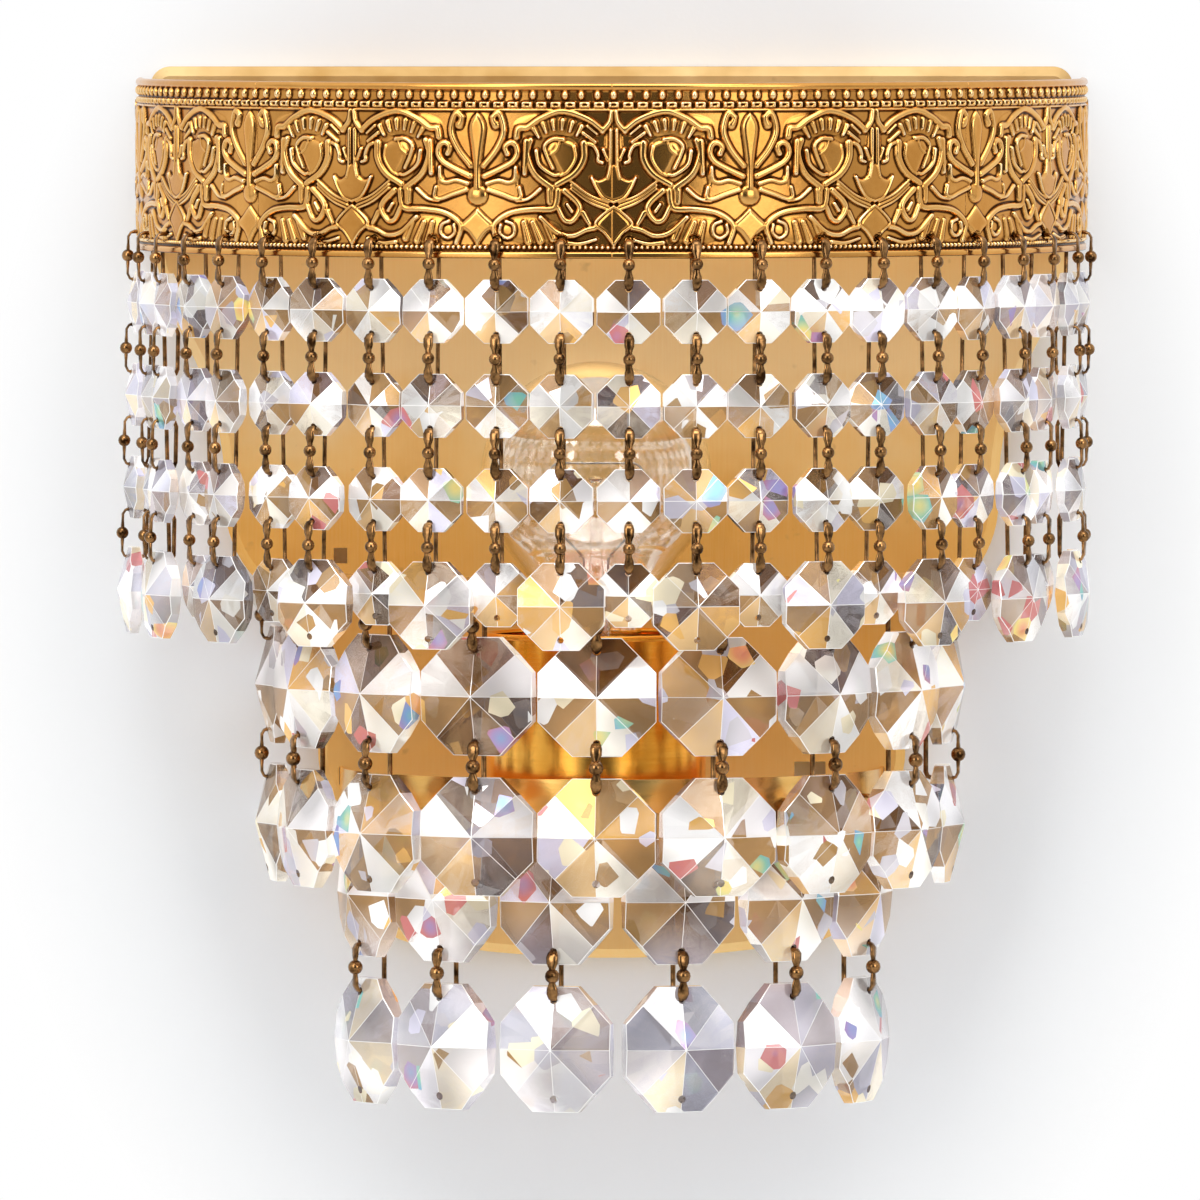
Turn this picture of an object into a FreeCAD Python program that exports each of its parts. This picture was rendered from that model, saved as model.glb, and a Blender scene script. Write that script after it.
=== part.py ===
import FreeCAD, Part

# Half-round wall sconce of gilt brass hung with crystal octagons.
# A shallow brass tray hangs on a steel bar on the wall. It carries a tall embossed gallery
# and two plain strip rings, each a half circle, and strands of crystals hang from holes in
# all three. One lamp stands behind the strands in a brass cup on an angle bracket.
# Units are millimetres. The origin is the middle of the wall bar's back face, +Z is up,
# the wall is the plane Y = 0 and the sconce faces -Y.

import math
import os

V = FreeCAD.Vector
OUT = "parts"

# --- sheet metal ---------------------------------------------------------------------
SHEET = 0.8                 # gallery and ring strip
GALLERY_RADIUS = 121.6      # outside of the gallery
GALLERY_HEIGHT = 44.0
GALLERY_TOP = 20.0          # above the wall bar's middle
GALLERY_ROLL = 1.0          # radius of the rolled top edge
GALLERY_LIP = 4.7           # strand holes above the lower edge
GALLERY_STANDOFF = 2.3      # gap between the gallery's ends and the tray's sides

RING_HEIGHT = 8.5           # the two plain strip rings
RING_LIP = 2.4              # strand holes above the lower edge
MIDDLE_RADIUS = 86.4        # outside of the strip
MIDDLE_TOP = -105.4
LOWER_RADIUS = 69.9
LOWER_TOP = -157.0
LUG_HEIGHT = 4.0            # lugs pass through the tray and fold over behind it
LUG_DROP = 0.5              # below the strip's top edge
LUG_FOLD = 5.0

# --- back tray -----------------------------------------------------------------------
TRAY_DEPTH = 10.0
TRAY_SHEET = 1.0
TRAY_BEVEL = 2.4
TRAY_RISE = 2.8             # tray's top above the gallery's top edge
TRAY_CORNER = 5.0
SHOULDER_MARGIN = 13.1      # tray's half width beyond the middle ring
WAIST_MARGIN = 5.6          # tray's half width beyond the lower ring
FOOT_INSET = 9.5            # narrowing from waist to foot
TRAY_BOTTOM = -206.5
TRAY_FOOT_CORNER = 20.0
TRAY_FOOT_SAG = 3.5         # rise of the bottom arc at its corners
UPPER_CURVE = (-12.0, -86.0)        # heights where each narrowing curve starts and ends
MIDDLE_CURVE_ABOVE, MIDDLE_CURVE_BELOW = 16.4, 30.6     # about the middle ring's top
LOWER_CURVE_ABOVE, LOWER_CURVE_BELOW = 3.0, 21.0        # about the lower ring's top
FOOT_CORNER_RISE = 21.5     # where the foot's corner starts, above the bottom
FOOT_ROUND = 0.28           # how near the corner's curve runs to its sharp corner, as a share
SLOT_PLACES = ((51.0, -158.0, 8.0, 4.4), (-69.7, -102.8, 3.5, 4.0))   # x, z, wide, tall

# --- wall bar and its screws ---------------------------------------------------------
BAR_LENGTH = 116.0
BAR_HEIGHT = 16.0
BAR_THICK = 2.0
WALL_HOLE_SPACING = 90.0
WALL_HOLE_RADIUS = 2.5
FIXING_SPACING = 60.0
FIXING_RADIUS = 2.0
FIXING_HEAD_RADIUS = 4.0
FIXING_HEAD_THICK = 2.4

# --- lamp ----------------------------------------------------------------------------
LAMP_X = -4.0               # the lamp stands a little left of the middle
LAMP_REACH = 32.0           # lamp axis in front of the tray's face
BULB_RADIUS = 29.5
BULB_TOP = -52.0
BULB_LENGTH = 98.0
BULB_GLASS = 0.8
BULB_SHOULDER = 42.0        # degrees below its middle where the globe runs into the neck
BULB_SHOULDER_HOLLOW = 1.2  # how far the shoulder's curve dips inwards
NECK_RADIUS = 11.6
NECK_LENGTH = 9.0           # straight neck above the cap
NECK_SEAT = 2.0             # neck inside the cap
STEM_FOOT = 4.0             # height of the flared glass foot
STEM_NECK = 20.0            # length of the tapering glass above it
STEM_ROD = 20.0             # thin rod at its top
STEM_RADII = (4.0, 2.6, 1.6, 2.2)   # above the foot, below the rod, of the rod, of its knob
FILAMENT_SPREAD = 12.0      # lead wires each side of the rod
FILAMENT_RADIUS = 0.3
FILAMENT_BENDS = [2.0, 3.0, 3.0, 3.0, 3.0, 2.0]
CAP_LENGTH = 25.0
CAP_RADIUS = 12.9
CAP_WALL = 0.4
CAP_BASE = 5.0              # insulator below the thread
END_CONTACT_RADIUS = 4.6
THREAD_DEPTH = 0.5
THREAD_PITCH = 3.6
SOCKET_CLEARANCE = 0.4      # between the bulb's cap and the socket's thread
CUP_RADIUS = 28.0
CUP_WALL = 0.8
CUP_HEIGHT = 38.0
CUP_BASE = 1.0
HOLDER_BASE = 6.0
HOLDER_WALL = 2.7
HOLDER_SLEEVE = 0.8
HOLDER_DROP = 4.0           # holder's rim below the top of the bulb's cap
HOLDER_LIP = 1.5            # sleeve turned in over the ceramic
THREAD_SEAT = 0.6           # room for the rolled thread in the ceramic
THREAD_FOOT = 1.0           # plain collar below the rolled thread
CONTACT_RADIUS = 4.0
CONTACT_THICK = 0.6
NUT_FLATS = 14.0
UPPER_NUT_THICK = 1.9
LOWER_NUT_THICK = 2.9
NIPPLE_RADIUS = 5.0
NIPPLE_BORE = 3.5
NIPPLE_SEAT = 3.0           # how far the nipple enters the holder
NIPPLE_TAIL = 1.5           # nipple below the lower nut
BRACKET_THICK = 1.5
BRACKET_WIDTH = 24.0
BRACKET_FOOT = 24.0
BUSH_DROP = 12.5            # wire bush below the bracket's leg
BUSH_RADIUS = 3.6
BUSH_WALL = 0.8
BUSH_LIP = 1.2
WIRE_RADIUS = 0.9
WIRE_GAP = 0.4
WIRE_BEND = 7.0
WIRE_TRAY_BEND = 3.5
FIT = 0.2                   # radial clearance of bolts, nipple and lugs in plain holes
THREAD_FIT = 0.05           # radial clearance of a screw in its thread
RIVET_RADIUS = 1.4
RIVET_HEAD_RADIUS = 2.4
RIVET_HEAD = 0.9
GALLERY_RIVET_DROP = 8.0    # upper rivets below the gallery's top edge
BRACKET_RIVET_OUT = 8.0     # bracket's rivets each side of the lamp
TERMINAL_SIZE = (20.0, 7.5, 12.0)
TERMINAL_TOP = -128.0
TERMINAL_SCREW_RADIUS = 1.4
TERMINAL_SCREW_DEPTH = 3.0
TERMINAL_SCREW_RISE = 3.0   # screws above and below the block's middle
TERMINAL_SCREW_SINK = 0.6   # heads below the block's face
TERMINAL_WIRE_SHARE = 0.45  # how far through the block's depth the wires run
EARTH_PLACE = (16.0, -148.0)

# --- crystals and links --------------------------------------------------------------
SMALL_MIDDLE = 3.3          # half thickness of a crystal at its middle
SMALL_FLAT = 1.3            # and at the middles of its flats
SMALL_INSET = 2.3           # hole's middle in from the top and bottom flats
MEDIUM_MIDDLE = 4.4
MEDIUM_FLAT = 1.6
MEDIUM_INSET = 2.6
LARGE_MIDDLE = 6.0
LARGE_FLAT = 2.0
LARGE_INSET = 3.4
TALL_MIDDLE = 6.4
TALL_FLAT = 2.1
TALL_INSET = 3.4
MEDIUM_SHARE = 1.375        # medium crystal's size as a share of the small one's
TALL_RISE = 3.0             # tall crystal's height beyond its width
UPPER_GAP = 0.59            # between neighbouring crystals in one tier
MIDDLE_GAP = 0.75
LOWER_GAP = 1.8
LINK_PITCH = 12.3           # from the upper hole's middle to the lower hole's
LINK_CORNER = 1.6
FINE_WIRE = 0.55            # radius of a link's wire
FINE_DEPTH = 3.2            # half depth of a link, to the wire's middle
FINE_BALL = 1.6             # radius of the ball in front
FINE_CLEARANCE = 0.3        # of the wire in its holes
STOUT_WIRE = 0.65
STOUT_DEPTH = 4.2
STOUT_BALL = 1.9
STOUT_CLEARANCE = 0.4
STRAP_BALL_SHARE = 0.8      # half width of a link's flattened front, as a share of the ball's
STRAP_THIN_SHARE = 0.35     # half thickness, as a share of the same
UPPER_COUNT = 22
UPPER_STEP = 7.85           # degrees between strands
UPPER_FIRST = -84.41
UPPER_LEAN = 1.2            # degrees that neighbours lean apart, to pass each other
MIDDLE_COUNT = 9
MIDDLE_STEP = 20.6
MIDDLE_FIRST = -84.9
LOWER_COUNT = 6
LOWER_STEP = 25.6
LOWER_FIRST = -62.8
TURN = 5.0                  # largest turn of a crystal about its strand, in degrees
TURN_PER_STRAND = 2.3       # how the turn runs on from strand to strand, in radians
TURN_PER_ROW = 0.9          # and from row to row

# --- sizes that follow ---------------------------------------------------------------
FACE_Y = -TRAY_DEPTH                        # the tray's front face, where half circles start
GALLERY_BOTTOM = GALLERY_TOP - GALLERY_HEIGHT
GALLERY_MIDDLE = GALLERY_RADIUS - SHEET / 2
TRAY_TOP = GALLERY_TOP + TRAY_RISE
TRAY_TOP_HALF = GALLERY_RADIUS - SHEET - GALLERY_STANDOFF
SHOULDER_HALF = MIDDLE_RADIUS + SHOULDER_MARGIN
WAIST_HALF = LOWER_RADIUS + WAIST_MARGIN
FOOT_HALF = WAIST_HALF - FOOT_INSET
GALLERY_RIVET_Y = (FACE_Y + TRAY_BEVEL) / 2     # middle of the tray's flat side
LAMP_Y = FACE_Y - LAMP_REACH
BULB_BOTTOM = BULB_TOP - BULB_LENGTH
CAP_TOP = BULB_BOTTOM + CAP_LENGTH
SOCKET_FLOOR = BULB_BOTTOM - CONTACT_THICK - SOCKET_CLEARANCE
HOLDER_BOTTOM = SOCKET_FLOOR - HOLDER_BASE
CUP_FLOOR = HOLDER_BOTTOM - UPPER_NUT_THICK
CUP_BOTTOM = CUP_FLOOR - CUP_BASE
LEG_BOTTOM = CUP_BOTTOM - BRACKET_THICK
LOWER_NUT_BOTTOM = LEG_BOTTOM - LOWER_NUT_THICK
NIPPLE_BOTTOM = LOWER_NUT_BOTTOM - NIPPLE_TAIL
BUSH_Z = LEG_BOTTOM - BUSH_DROP
HOLDER_BORE = CAP_RADIUS + SOCKET_CLEARANCE + THREAD_DEPTH + THREAD_SEAT
HOLDER_OUTER = HOLDER_BORE + HOLDER_WALL
HOLDER_TOP = CAP_TOP - HOLDER_DROP
WIRE_TUNNEL = NIPPLE_BORE - 1.0             # wires' hole through the ceramic's base
WIRE_END = SOCKET_FLOOR - THREAD_FIT        # just under the contacts
MIDDLE_LINE = MIDDLE_RADIUS - SHEET / 2     # middles of the two strips
LOWER_LINE = LOWER_RADIUS - SHEET / 2


def chord(radius, degrees):
    return 2 * radius * math.sin(math.radians(degrees / 2))


# Each tier's crystals fill the spaces between its strands.
SMALL_WIDTH = chord(GALLERY_MIDDLE, UPPER_STEP) - UPPER_GAP
MEDIUM_WIDTH = SMALL_WIDTH * MEDIUM_SHARE
LARGE_WIDTH = chord(MIDDLE_LINE, MIDDLE_STEP) - MIDDLE_GAP
TALL_WIDTH = chord(LOWER_LINE, LOWER_STEP) - LOWER_GAP
# width, height, half thickness at the middle, half thickness at the flats, hole inset
SMALL = (SMALL_WIDTH, SMALL_WIDTH, SMALL_MIDDLE, SMALL_FLAT, SMALL_INSET)
MEDIUM = (MEDIUM_WIDTH, MEDIUM_WIDTH, MEDIUM_MIDDLE, MEDIUM_FLAT, MEDIUM_INSET)
LARGE = (LARGE_WIDTH, LARGE_WIDTH, LARGE_MIDDLE, LARGE_FLAT, LARGE_INSET)
TALL = (TALL_WIDTH, TALL_WIDTH + TALL_RISE, TALL_MIDDLE, TALL_FLAT, TALL_INSET)
# wire radius, half depth to the wire's middle, ball radius, clearance in its holes
FINE_LINK = (FINE_WIRE, FINE_DEPTH, FINE_BALL, FINE_CLEARANCE)
STOUT_LINK = (STOUT_WIRE, STOUT_DEPTH, STOUT_BALL, STOUT_CLEARANCE)


def save(shape, node):
    shape.exportStep(os.path.join(OUT, node + ".step"))


def box(x0, x1, y0, y1, z0, z1):
    return Part.makeBox(x1 - x0, y1 - y0, z1 - z0, V(x0, y0, z0))


def upright(radius, z0, z1, x=0.0, y=0.0):
    """A cylinder standing from z0 to z1."""
    return Part.makeCylinder(radius, z1 - z0, V(x, y, z0))


def along_y(radius, x, z, y0, y1):
    """A cylinder from y0 to y1 through the tray or the wall bar."""
    return Part.makeCylinder(radius, y1 - y0, V(x, y0, z), V(0, 1, 0))


def along_x(radius, y, z, x0, x1):
    return Part.makeCylinder(radius, x1 - x0, V(x0, y, z), V(1, 0, 0))


def turned(profile, x, y):
    """A solid of revolution about the upright line at x, y from (radius, z) points."""
    points = [V(x + r, y, z) for r, z in profile]
    face = Part.Face(Part.makePolygon(points + [points[0]]))
    return face.revolve(V(x, y, 0), V(0, 0, 1), 360)


def arc(start, through, end):
    return Part.Arc(start, through, end).toShape()


def line(start, end):
    return Part.LineSegment(start, end).toShape()


# --- the tray ------------------------------------------------------------------------
def narrowing(x0, z0, x1, z1, y):
    """Two equal arcs from one upright side down to a narrower upright side."""
    fall = z0 - z1
    inset = x0 - x1
    radius = (inset * inset + fall * fall) / (4 * inset)
    middle = V((x0 + x1) / 2, y, (z0 + z1) / 2)
    half_turn = math.asin(fall / 2 / radius) / 2
    reach = radius * (1 - math.cos(half_turn))
    drop = radius * math.sin(half_turn)
    upper = arc(V(x0, y, z0), V(x0 - reach, y, z0 - drop), middle)
    lower = arc(middle, V(x1 + reach, y, z1 + drop), V(x1, y, z1))
    return [upper, lower]


def tray_half_outline(y):
    """The right half of the tray's outline, from the top middle to the bottom middle."""
    bend = TRAY_CORNER * (1 - math.sqrt(0.5))
    middle_start = MIDDLE_TOP + MIDDLE_CURVE_ABOVE
    middle_end = MIDDLE_TOP - MIDDLE_CURVE_BELOW
    lower_start = LOWER_TOP + LOWER_CURVE_ABOVE
    lower_end = LOWER_TOP - LOWER_CURVE_BELOW
    foot_top = TRAY_BOTTOM + FOOT_CORNER_RISE
    foot_x = FOOT_HALF - TRAY_FOOT_CORNER
    foot_z = TRAY_BOTTOM + TRAY_FOOT_SAG
    foot_bend = V(FOOT_HALF - TRAY_FOOT_CORNER * FOOT_ROUND, y,
                  foot_z + (foot_top - foot_z) * FOOT_ROUND)
    edges = [
        line(V(0, y, TRAY_TOP), V(TRAY_TOP_HALF - TRAY_CORNER, y, TRAY_TOP)),
        arc(V(TRAY_TOP_HALF - TRAY_CORNER, y, TRAY_TOP),
            V(TRAY_TOP_HALF - bend, y, TRAY_TOP - bend),
            V(TRAY_TOP_HALF, y, TRAY_TOP - TRAY_CORNER)),
        line(V(TRAY_TOP_HALF, y, TRAY_TOP - TRAY_CORNER), V(TRAY_TOP_HALF, y, UPPER_CURVE[0])),
    ]
    edges += narrowing(TRAY_TOP_HALF, UPPER_CURVE[0], SHOULDER_HALF, UPPER_CURVE[1], y)
    edges.append(line(V(SHOULDER_HALF, y, UPPER_CURVE[1]), V(SHOULDER_HALF, y, middle_start)))
    edges += narrowing(SHOULDER_HALF, middle_start, WAIST_HALF, middle_end, y)
    edges.append(line(V(WAIST_HALF, y, middle_end), V(WAIST_HALF, y, lower_start)))
    edges += narrowing(WAIST_HALF, lower_start, FOOT_HALF, lower_end, y)
    edges += [
        line(V(FOOT_HALF, y, lower_end), V(FOOT_HALF, y, foot_top)),
        arc(V(FOOT_HALF, y, foot_top), foot_bend, V(foot_x, y, foot_z)),
    ]
    return edges


def tray_outline(y):
    right = tray_half_outline(y)
    left = [edge.mirror(V(0, 0, 0), V(1, 0, 0)) for edge in right]
    foot_x = FOOT_HALF - TRAY_FOOT_CORNER
    foot_z = TRAY_BOTTOM + TRAY_FOOT_SAG
    bottom = arc(V(foot_x, y, foot_z), V(0, y, TRAY_BOTTOM), V(-foot_x, y, foot_z))
    return Part.Wire(Part.__sortEdges__(right + [bottom] + left))


def bevelled_block(face, front_y, depth, bevel):
    block = face.extrude(V(0, depth, 0))
    rim = [edge for edge in block.Edges
           if all(abs(vertex.Y - front_y) < 1e-6 for vertex in edge.Vertexes)]
    return block.makeChamfer(bevel, rim)


def lug_slot(radius, ring_top, side):
    """The slot in the tray for one of a ring's lugs; side is 1 or -1."""
    inner = side * (radius - SHEET - FIT)
    outer = side * (radius + FIT)
    top = ring_top - LUG_DROP + FIT
    return box(min(inner, outer), max(inner, outer), FACE_Y - 1, FACE_Y + TRAY_SHEET + 1,
               top - LUG_HEIGHT - 2 * FIT, top)


def back_tray():
    outer = Part.Face(tray_outline(FACE_Y))
    shell = bevelled_block(outer, FACE_Y, TRAY_DEPTH, TRAY_BEVEL)
    inner = outer.makeOffset2D(-TRAY_SHEET)
    inner.translate(V(0, TRAY_SHEET, 0))
    inner_bevel = TRAY_BEVEL - TRAY_SHEET * (2 - math.sqrt(2))
    shell = shell.cut(bevelled_block(inner, FACE_Y + TRAY_SHEET, TRAY_DEPTH, inner_bevel))
    holes = [along_y(FIXING_RADIUS + FIT, side * FIXING_SPACING / 2, 0, FACE_Y - 1, 0)
             for side in (-1, 1)]
    for radius, top in ((MIDDLE_RADIUS, MIDDLE_TOP), (LOWER_RADIUS, LOWER_TOP)):
        holes += [lug_slot(radius, top, side) for side in (-1, 1)]
    for x, z, wide, tall in SLOT_PLACES:
        holes.append(box(x - wide / 2, x + wide / 2, FACE_Y - 1, FACE_Y + TRAY_SHEET + 1,
                         z - tall / 2, z + tall / 2))
    holes.append(along_y(BUSH_RADIUS + FIT, LAMP_X, BUSH_Z, FACE_Y - 1, 0))
    holes += [along_y(RIVET_RADIUS + THREAD_FIT, x, BUSH_Z, FACE_Y - 1, 0)
              for x in bracket_rivet_places()]
    holes.append(along_y(FIXING_RADIUS + THREAD_FIT, EARTH_PLACE[0], EARTH_PLACE[1],
                         FACE_Y - 1, 0))
    for z in gallery_rivet_heights():
        holes.append(along_x(RIVET_RADIUS + THREAD_FIT, GALLERY_RIVET_Y, z,
                             -GALLERY_RADIUS, GALLERY_RADIUS))
    return shell.cut(holes)


# --- gallery, rings and rivets -------------------------------------------------------
def half_round(radius, sheet, tail, z0, z1):
    """A half-round strip with straight tails running back to the wall."""
    def path(r):
        edges = [arc(V(-r, FACE_Y, z0), V(0, FACE_Y - r, z0), V(r, FACE_Y, z0))]
        if tail:
            edges.insert(0, line(V(-r, FACE_Y + tail, z0), V(-r, FACE_Y, z0)))
            edges.append(line(V(r, FACE_Y, z0), V(r, FACE_Y + tail, z0)))
        return edges
    outer = path(radius)
    inner = path(radius - sheet)
    end_y = FACE_Y + tail
    caps = [line(V(side * radius, end_y, z0), V(side * (radius - sheet), end_y, z0))
            for side in (-1, 1)]
    wire = Part.Wire(Part.__sortEdges__(outer + inner + caps))
    return Part.Face(wire).extrude(V(0, 0, z1 - z0))


def outward(angle):
    """Unit vector away from the lamp side, for a strand's angle from the front in degrees."""
    turn = math.radians(angle)
    return V(math.sin(turn), -math.cos(turn), 0)


def strand_holes(radius, angles, z, hole_radius):
    holes = []
    for angle in angles:
        way = outward(angle)
        start = V(0, FACE_Y, z) + way * (radius - 2 * SHEET)
        holes.append(Part.makeCylinder(hole_radius, 4 * SHEET, start, way))
    return holes


def gallery_rivet_heights():
    return (GALLERY_TOP - GALLERY_RIVET_DROP, GALLERY_BOTTOM + 2 * GALLERY_RIVET_DROP)


def bracket_rivet_places():
    return (LAMP_X - BRACKET_RIVET_OUT, LAMP_X + BRACKET_RIVET_OUT)


def upper_angles():
    return [UPPER_FIRST + UPPER_STEP * i for i in range(UPPER_COUNT)]


def middle_angles():
    return [MIDDLE_FIRST + MIDDLE_STEP * i for i in range(MIDDLE_COUNT)]


def lower_angles():
    return [LOWER_FIRST + LOWER_STEP * i for i in range(LOWER_COUNT)]


def gallery_band():
    band = half_round(GALLERY_RADIUS, SHEET, TRAY_DEPTH, GALLERY_BOTTOM, GALLERY_TOP)
    mid = GALLERY_MIDDLE
    roll_z = GALLERY_TOP - GALLERY_ROLL
    spine = Part.Wire([
        line(V(-mid, 0, roll_z), V(-mid, FACE_Y, roll_z)),
        arc(V(-mid, FACE_Y, roll_z), V(0, FACE_Y - mid, roll_z), V(mid, FACE_Y, roll_z)),
        line(V(mid, FACE_Y, roll_z), V(mid, 0, roll_z)),
    ])
    section = Part.Wire(Part.makeCircle(GALLERY_ROLL, V(-mid, 0, roll_z), V(0, 1, 0)))
    roll = spine.makePipeShell([section], True, False)
    holes = strand_holes(mid, upper_angles(), GALLERY_BOTTOM + GALLERY_LIP,
                         FINE_WIRE + FINE_CLEARANCE)
    for z in gallery_rivet_heights():
        holes.append(along_x(RIVET_RADIUS + THREAD_FIT, GALLERY_RIVET_Y, z,
                             -GALLERY_RADIUS - 5, GALLERY_RADIUS + 5))
    return band.fuse(roll).removeSplitter().cut(holes)


def strip_ring(radius, top, angles):
    strip = half_round(radius, SHEET, 0, top - RING_HEIGHT, top)
    lug_top = top - LUG_DROP
    through = TRAY_SHEET + FIT + SHEET
    for side in (-1, 1):
        inner = side * (radius - SHEET)
        outer = side * radius
        lug = box(min(inner, outer), max(inner, outer), FACE_Y, FACE_Y + through,
                  lug_top - LUG_HEIGHT, lug_top)
        folded = side * (radius - LUG_FOLD)
        fold = box(min(folded, outer), max(folded, outer), FACE_Y + through - SHEET,
                   FACE_Y + through, lug_top - LUG_HEIGHT, lug_top)
        strip = strip.fuse([lug, fold])
    holes = strand_holes(radius - SHEET / 2, angles, top - RING_HEIGHT + RING_LIP,
                         STOUT_WIRE + STOUT_CLEARANCE)
    return strip.removeSplitter().cut(holes)


def gallery_rivet(side, z):
    """A shouldered rivet that holds the gallery's end off the tray's side."""
    y = GALLERY_RIVET_Y
    band_out = GALLERY_RADIUS
    band_in = GALLERY_RADIUS - SHEET
    tray_out = TRAY_TOP_HALF
    tray_in = TRAY_TOP_HALF - TRAY_SHEET
    spans = [
        (RIVET_HEAD_RADIUS, band_out, band_out + RIVET_HEAD),
        (RIVET_HEAD_RADIUS, tray_out, band_in),
        (RIVET_HEAD_RADIUS, tray_in - RIVET_HEAD, tray_in),
        (RIVET_RADIUS, tray_in - RIVET_HEAD, band_out + RIVET_HEAD),
    ]
    solids = [along_x(radius, y, z, min(side * a, side * b), max(side * a, side * b))
              for radius, a, b in spans]
    return solids[0].fuse(solids[1:]).removeSplitter()


def bracket_rivet(x):
    front = FACE_Y - BRACKET_THICK
    back = FACE_Y + TRAY_SHEET
    solids = [
        along_y(RIVET_HEAD_RADIUS, x, BUSH_Z, front - RIVET_HEAD, front),
        along_y(RIVET_HEAD_RADIUS, x, BUSH_Z, back, back + RIVET_HEAD),
        along_y(RIVET_RADIUS, x, BUSH_Z, front - RIVET_HEAD, back + RIVET_HEAD),
    ]
    return solids[0].fuse(solids[1:]).removeSplitter()


def rivets():
    solids = [gallery_rivet(side, z) for side in (-1, 1) for z in gallery_rivet_heights()]
    solids += [bracket_rivet(x) for x in bracket_rivet_places()]
    return Part.makeCompound(solids)


# --- wall fixing ---------------------------------------------------------------------
def wall_bar():
    bar = box(-BAR_LENGTH / 2, BAR_LENGTH / 2, -BAR_THICK, 0, -BAR_HEIGHT / 2, BAR_HEIGHT / 2)
    corners = [edge for edge in bar.Edges
               if abs(edge.Vertexes[0].Y - edge.Vertexes[1].Y) > BAR_THICK / 2]
    bar = bar.makeFillet(BAR_HEIGHT / 4, corners)
    for side in (-1, 1):
        for radius, spacing in ((WALL_HOLE_RADIUS, WALL_HOLE_SPACING),
                                (FIXING_RADIUS + THREAD_FIT, FIXING_SPACING)):
            x = side * spacing / 2
            bar = bar.cut(along_y(radius, x, 0, -2 * BAR_THICK, BAR_THICK))
    return bar


def pan_screw(radius, head_radius, head_thick, x, z, head_y, tip_y):
    """A pan-head screw: head against head_y on the room side, shank running to tip_y."""
    head = along_y(head_radius, x, z, head_y - head_thick, head_y)
    crown = [edge for edge in head.Edges if abs(edge.BoundBox.YMax - head.BoundBox.YMin) < 1e-6]
    head = head.makeFillet(head_thick * 0.6, crown)
    slot = box(x - head_radius, x + head_radius, head_y - head_thick - 1,
               head_y - head_thick * 0.6, z - radius * 0.2, z + radius * 0.2)
    return head.cut(slot).fuse(along_y(radius, x, z, head_y, tip_y)).removeSplitter()


def fixing_screws():
    return Part.makeCompound([
        pan_screw(FIXING_RADIUS, FIXING_HEAD_RADIUS, FIXING_HEAD_THICK,
                  side * FIXING_SPACING / 2, 0, FACE_Y, -BAR_THICK / 10)
        for side in (-1, 1)])


def earth_screw():
    """Screwed in from behind, so its head is inside the tray."""
    x, z = EARTH_PLACE
    inside = FACE_Y + TRAY_SHEET
    head = along_y(FIXING_HEAD_RADIUS, x, z, inside, inside + FIXING_HEAD_THICK)
    shank = along_y(FIXING_RADIUS, x, z, FACE_Y - BAR_THICK / 2, inside)
    slot = box(x - FIXING_HEAD_RADIUS, x + FIXING_HEAD_RADIUS,
               inside + FIXING_HEAD_THICK * 0.6, inside + FIXING_HEAD_THICK + 1,
               z - FIXING_RADIUS * 0.2, z + FIXING_RADIUS * 0.2)
    return head.cut(slot).fuse(shank).removeSplitter()


# --- lamp holder ---------------------------------------------------------------------
def hex_nut(flats, bore, z0, z1):
    corner = flats / math.sqrt(3)
    points = [V(LAMP_X + corner * math.cos(math.radians(60 * i)),
                LAMP_Y + corner * math.sin(math.radians(60 * i)), z0) for i in range(7)]
    nut = Part.Face(Part.makePolygon(points)).extrude(V(0, 0, z1 - z0))
    return nut.cut(upright(bore, z0 - 1, z1 + 1, LAMP_X, LAMP_Y))


def nipple_nuts():
    bore = NIPPLE_RADIUS + THREAD_FIT
    return Part.makeCompound([
        hex_nut(NUT_FLATS, bore, LOWER_NUT_BOTTOM, LEG_BOTTOM),
        hex_nut(NUT_FLATS, bore, CUP_FLOOR, HOLDER_BOTTOM),
    ])


def holder_nipple():
    top = HOLDER_BOTTOM + NIPPLE_SEAT
    tube = upright(NIPPLE_RADIUS, NIPPLE_BOTTOM, top, LAMP_X, LAMP_Y)
    return tube.cut(upright(NIPPLE_BORE, NIPPLE_BOTTOM - 1, top + 1, LAMP_X, LAMP_Y))


def lamp_bracket():
    """An angle bracket: a leg under the cup and a foot riveted to the tray."""
    half = BRACKET_WIDTH / 2
    leg = box(LAMP_X - half, LAMP_X + half, LAMP_Y, FACE_Y, LEG_BOTTOM, CUP_BOTTOM)
    leg = leg.fuse(upright(half, LEG_BOTTOM, CUP_BOTTOM, LAMP_X, LAMP_Y))
    foot = box(LAMP_X - half, LAMP_X + half, FACE_Y - BRACKET_THICK, FACE_Y,
               LEG_BOTTOM - BRACKET_FOOT, CUP_BOTTOM)
    bracket = leg.fuse(foot).removeSplitter()
    holes = [upright(NIPPLE_RADIUS + FIT, LEG_BOTTOM - 1, CUP_BOTTOM + 1, LAMP_X, LAMP_Y)]
    holes.append(along_y(BUSH_RADIUS + FIT, LAMP_X, BUSH_Z, FACE_Y - 9, FACE_Y + 1))
    holes += [along_y(RIVET_RADIUS + THREAD_FIT, x, BUSH_Z, FACE_Y - 9, FACE_Y + 1)
              for x in bracket_rivet_places()]
    return bracket.cut(holes)


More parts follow.
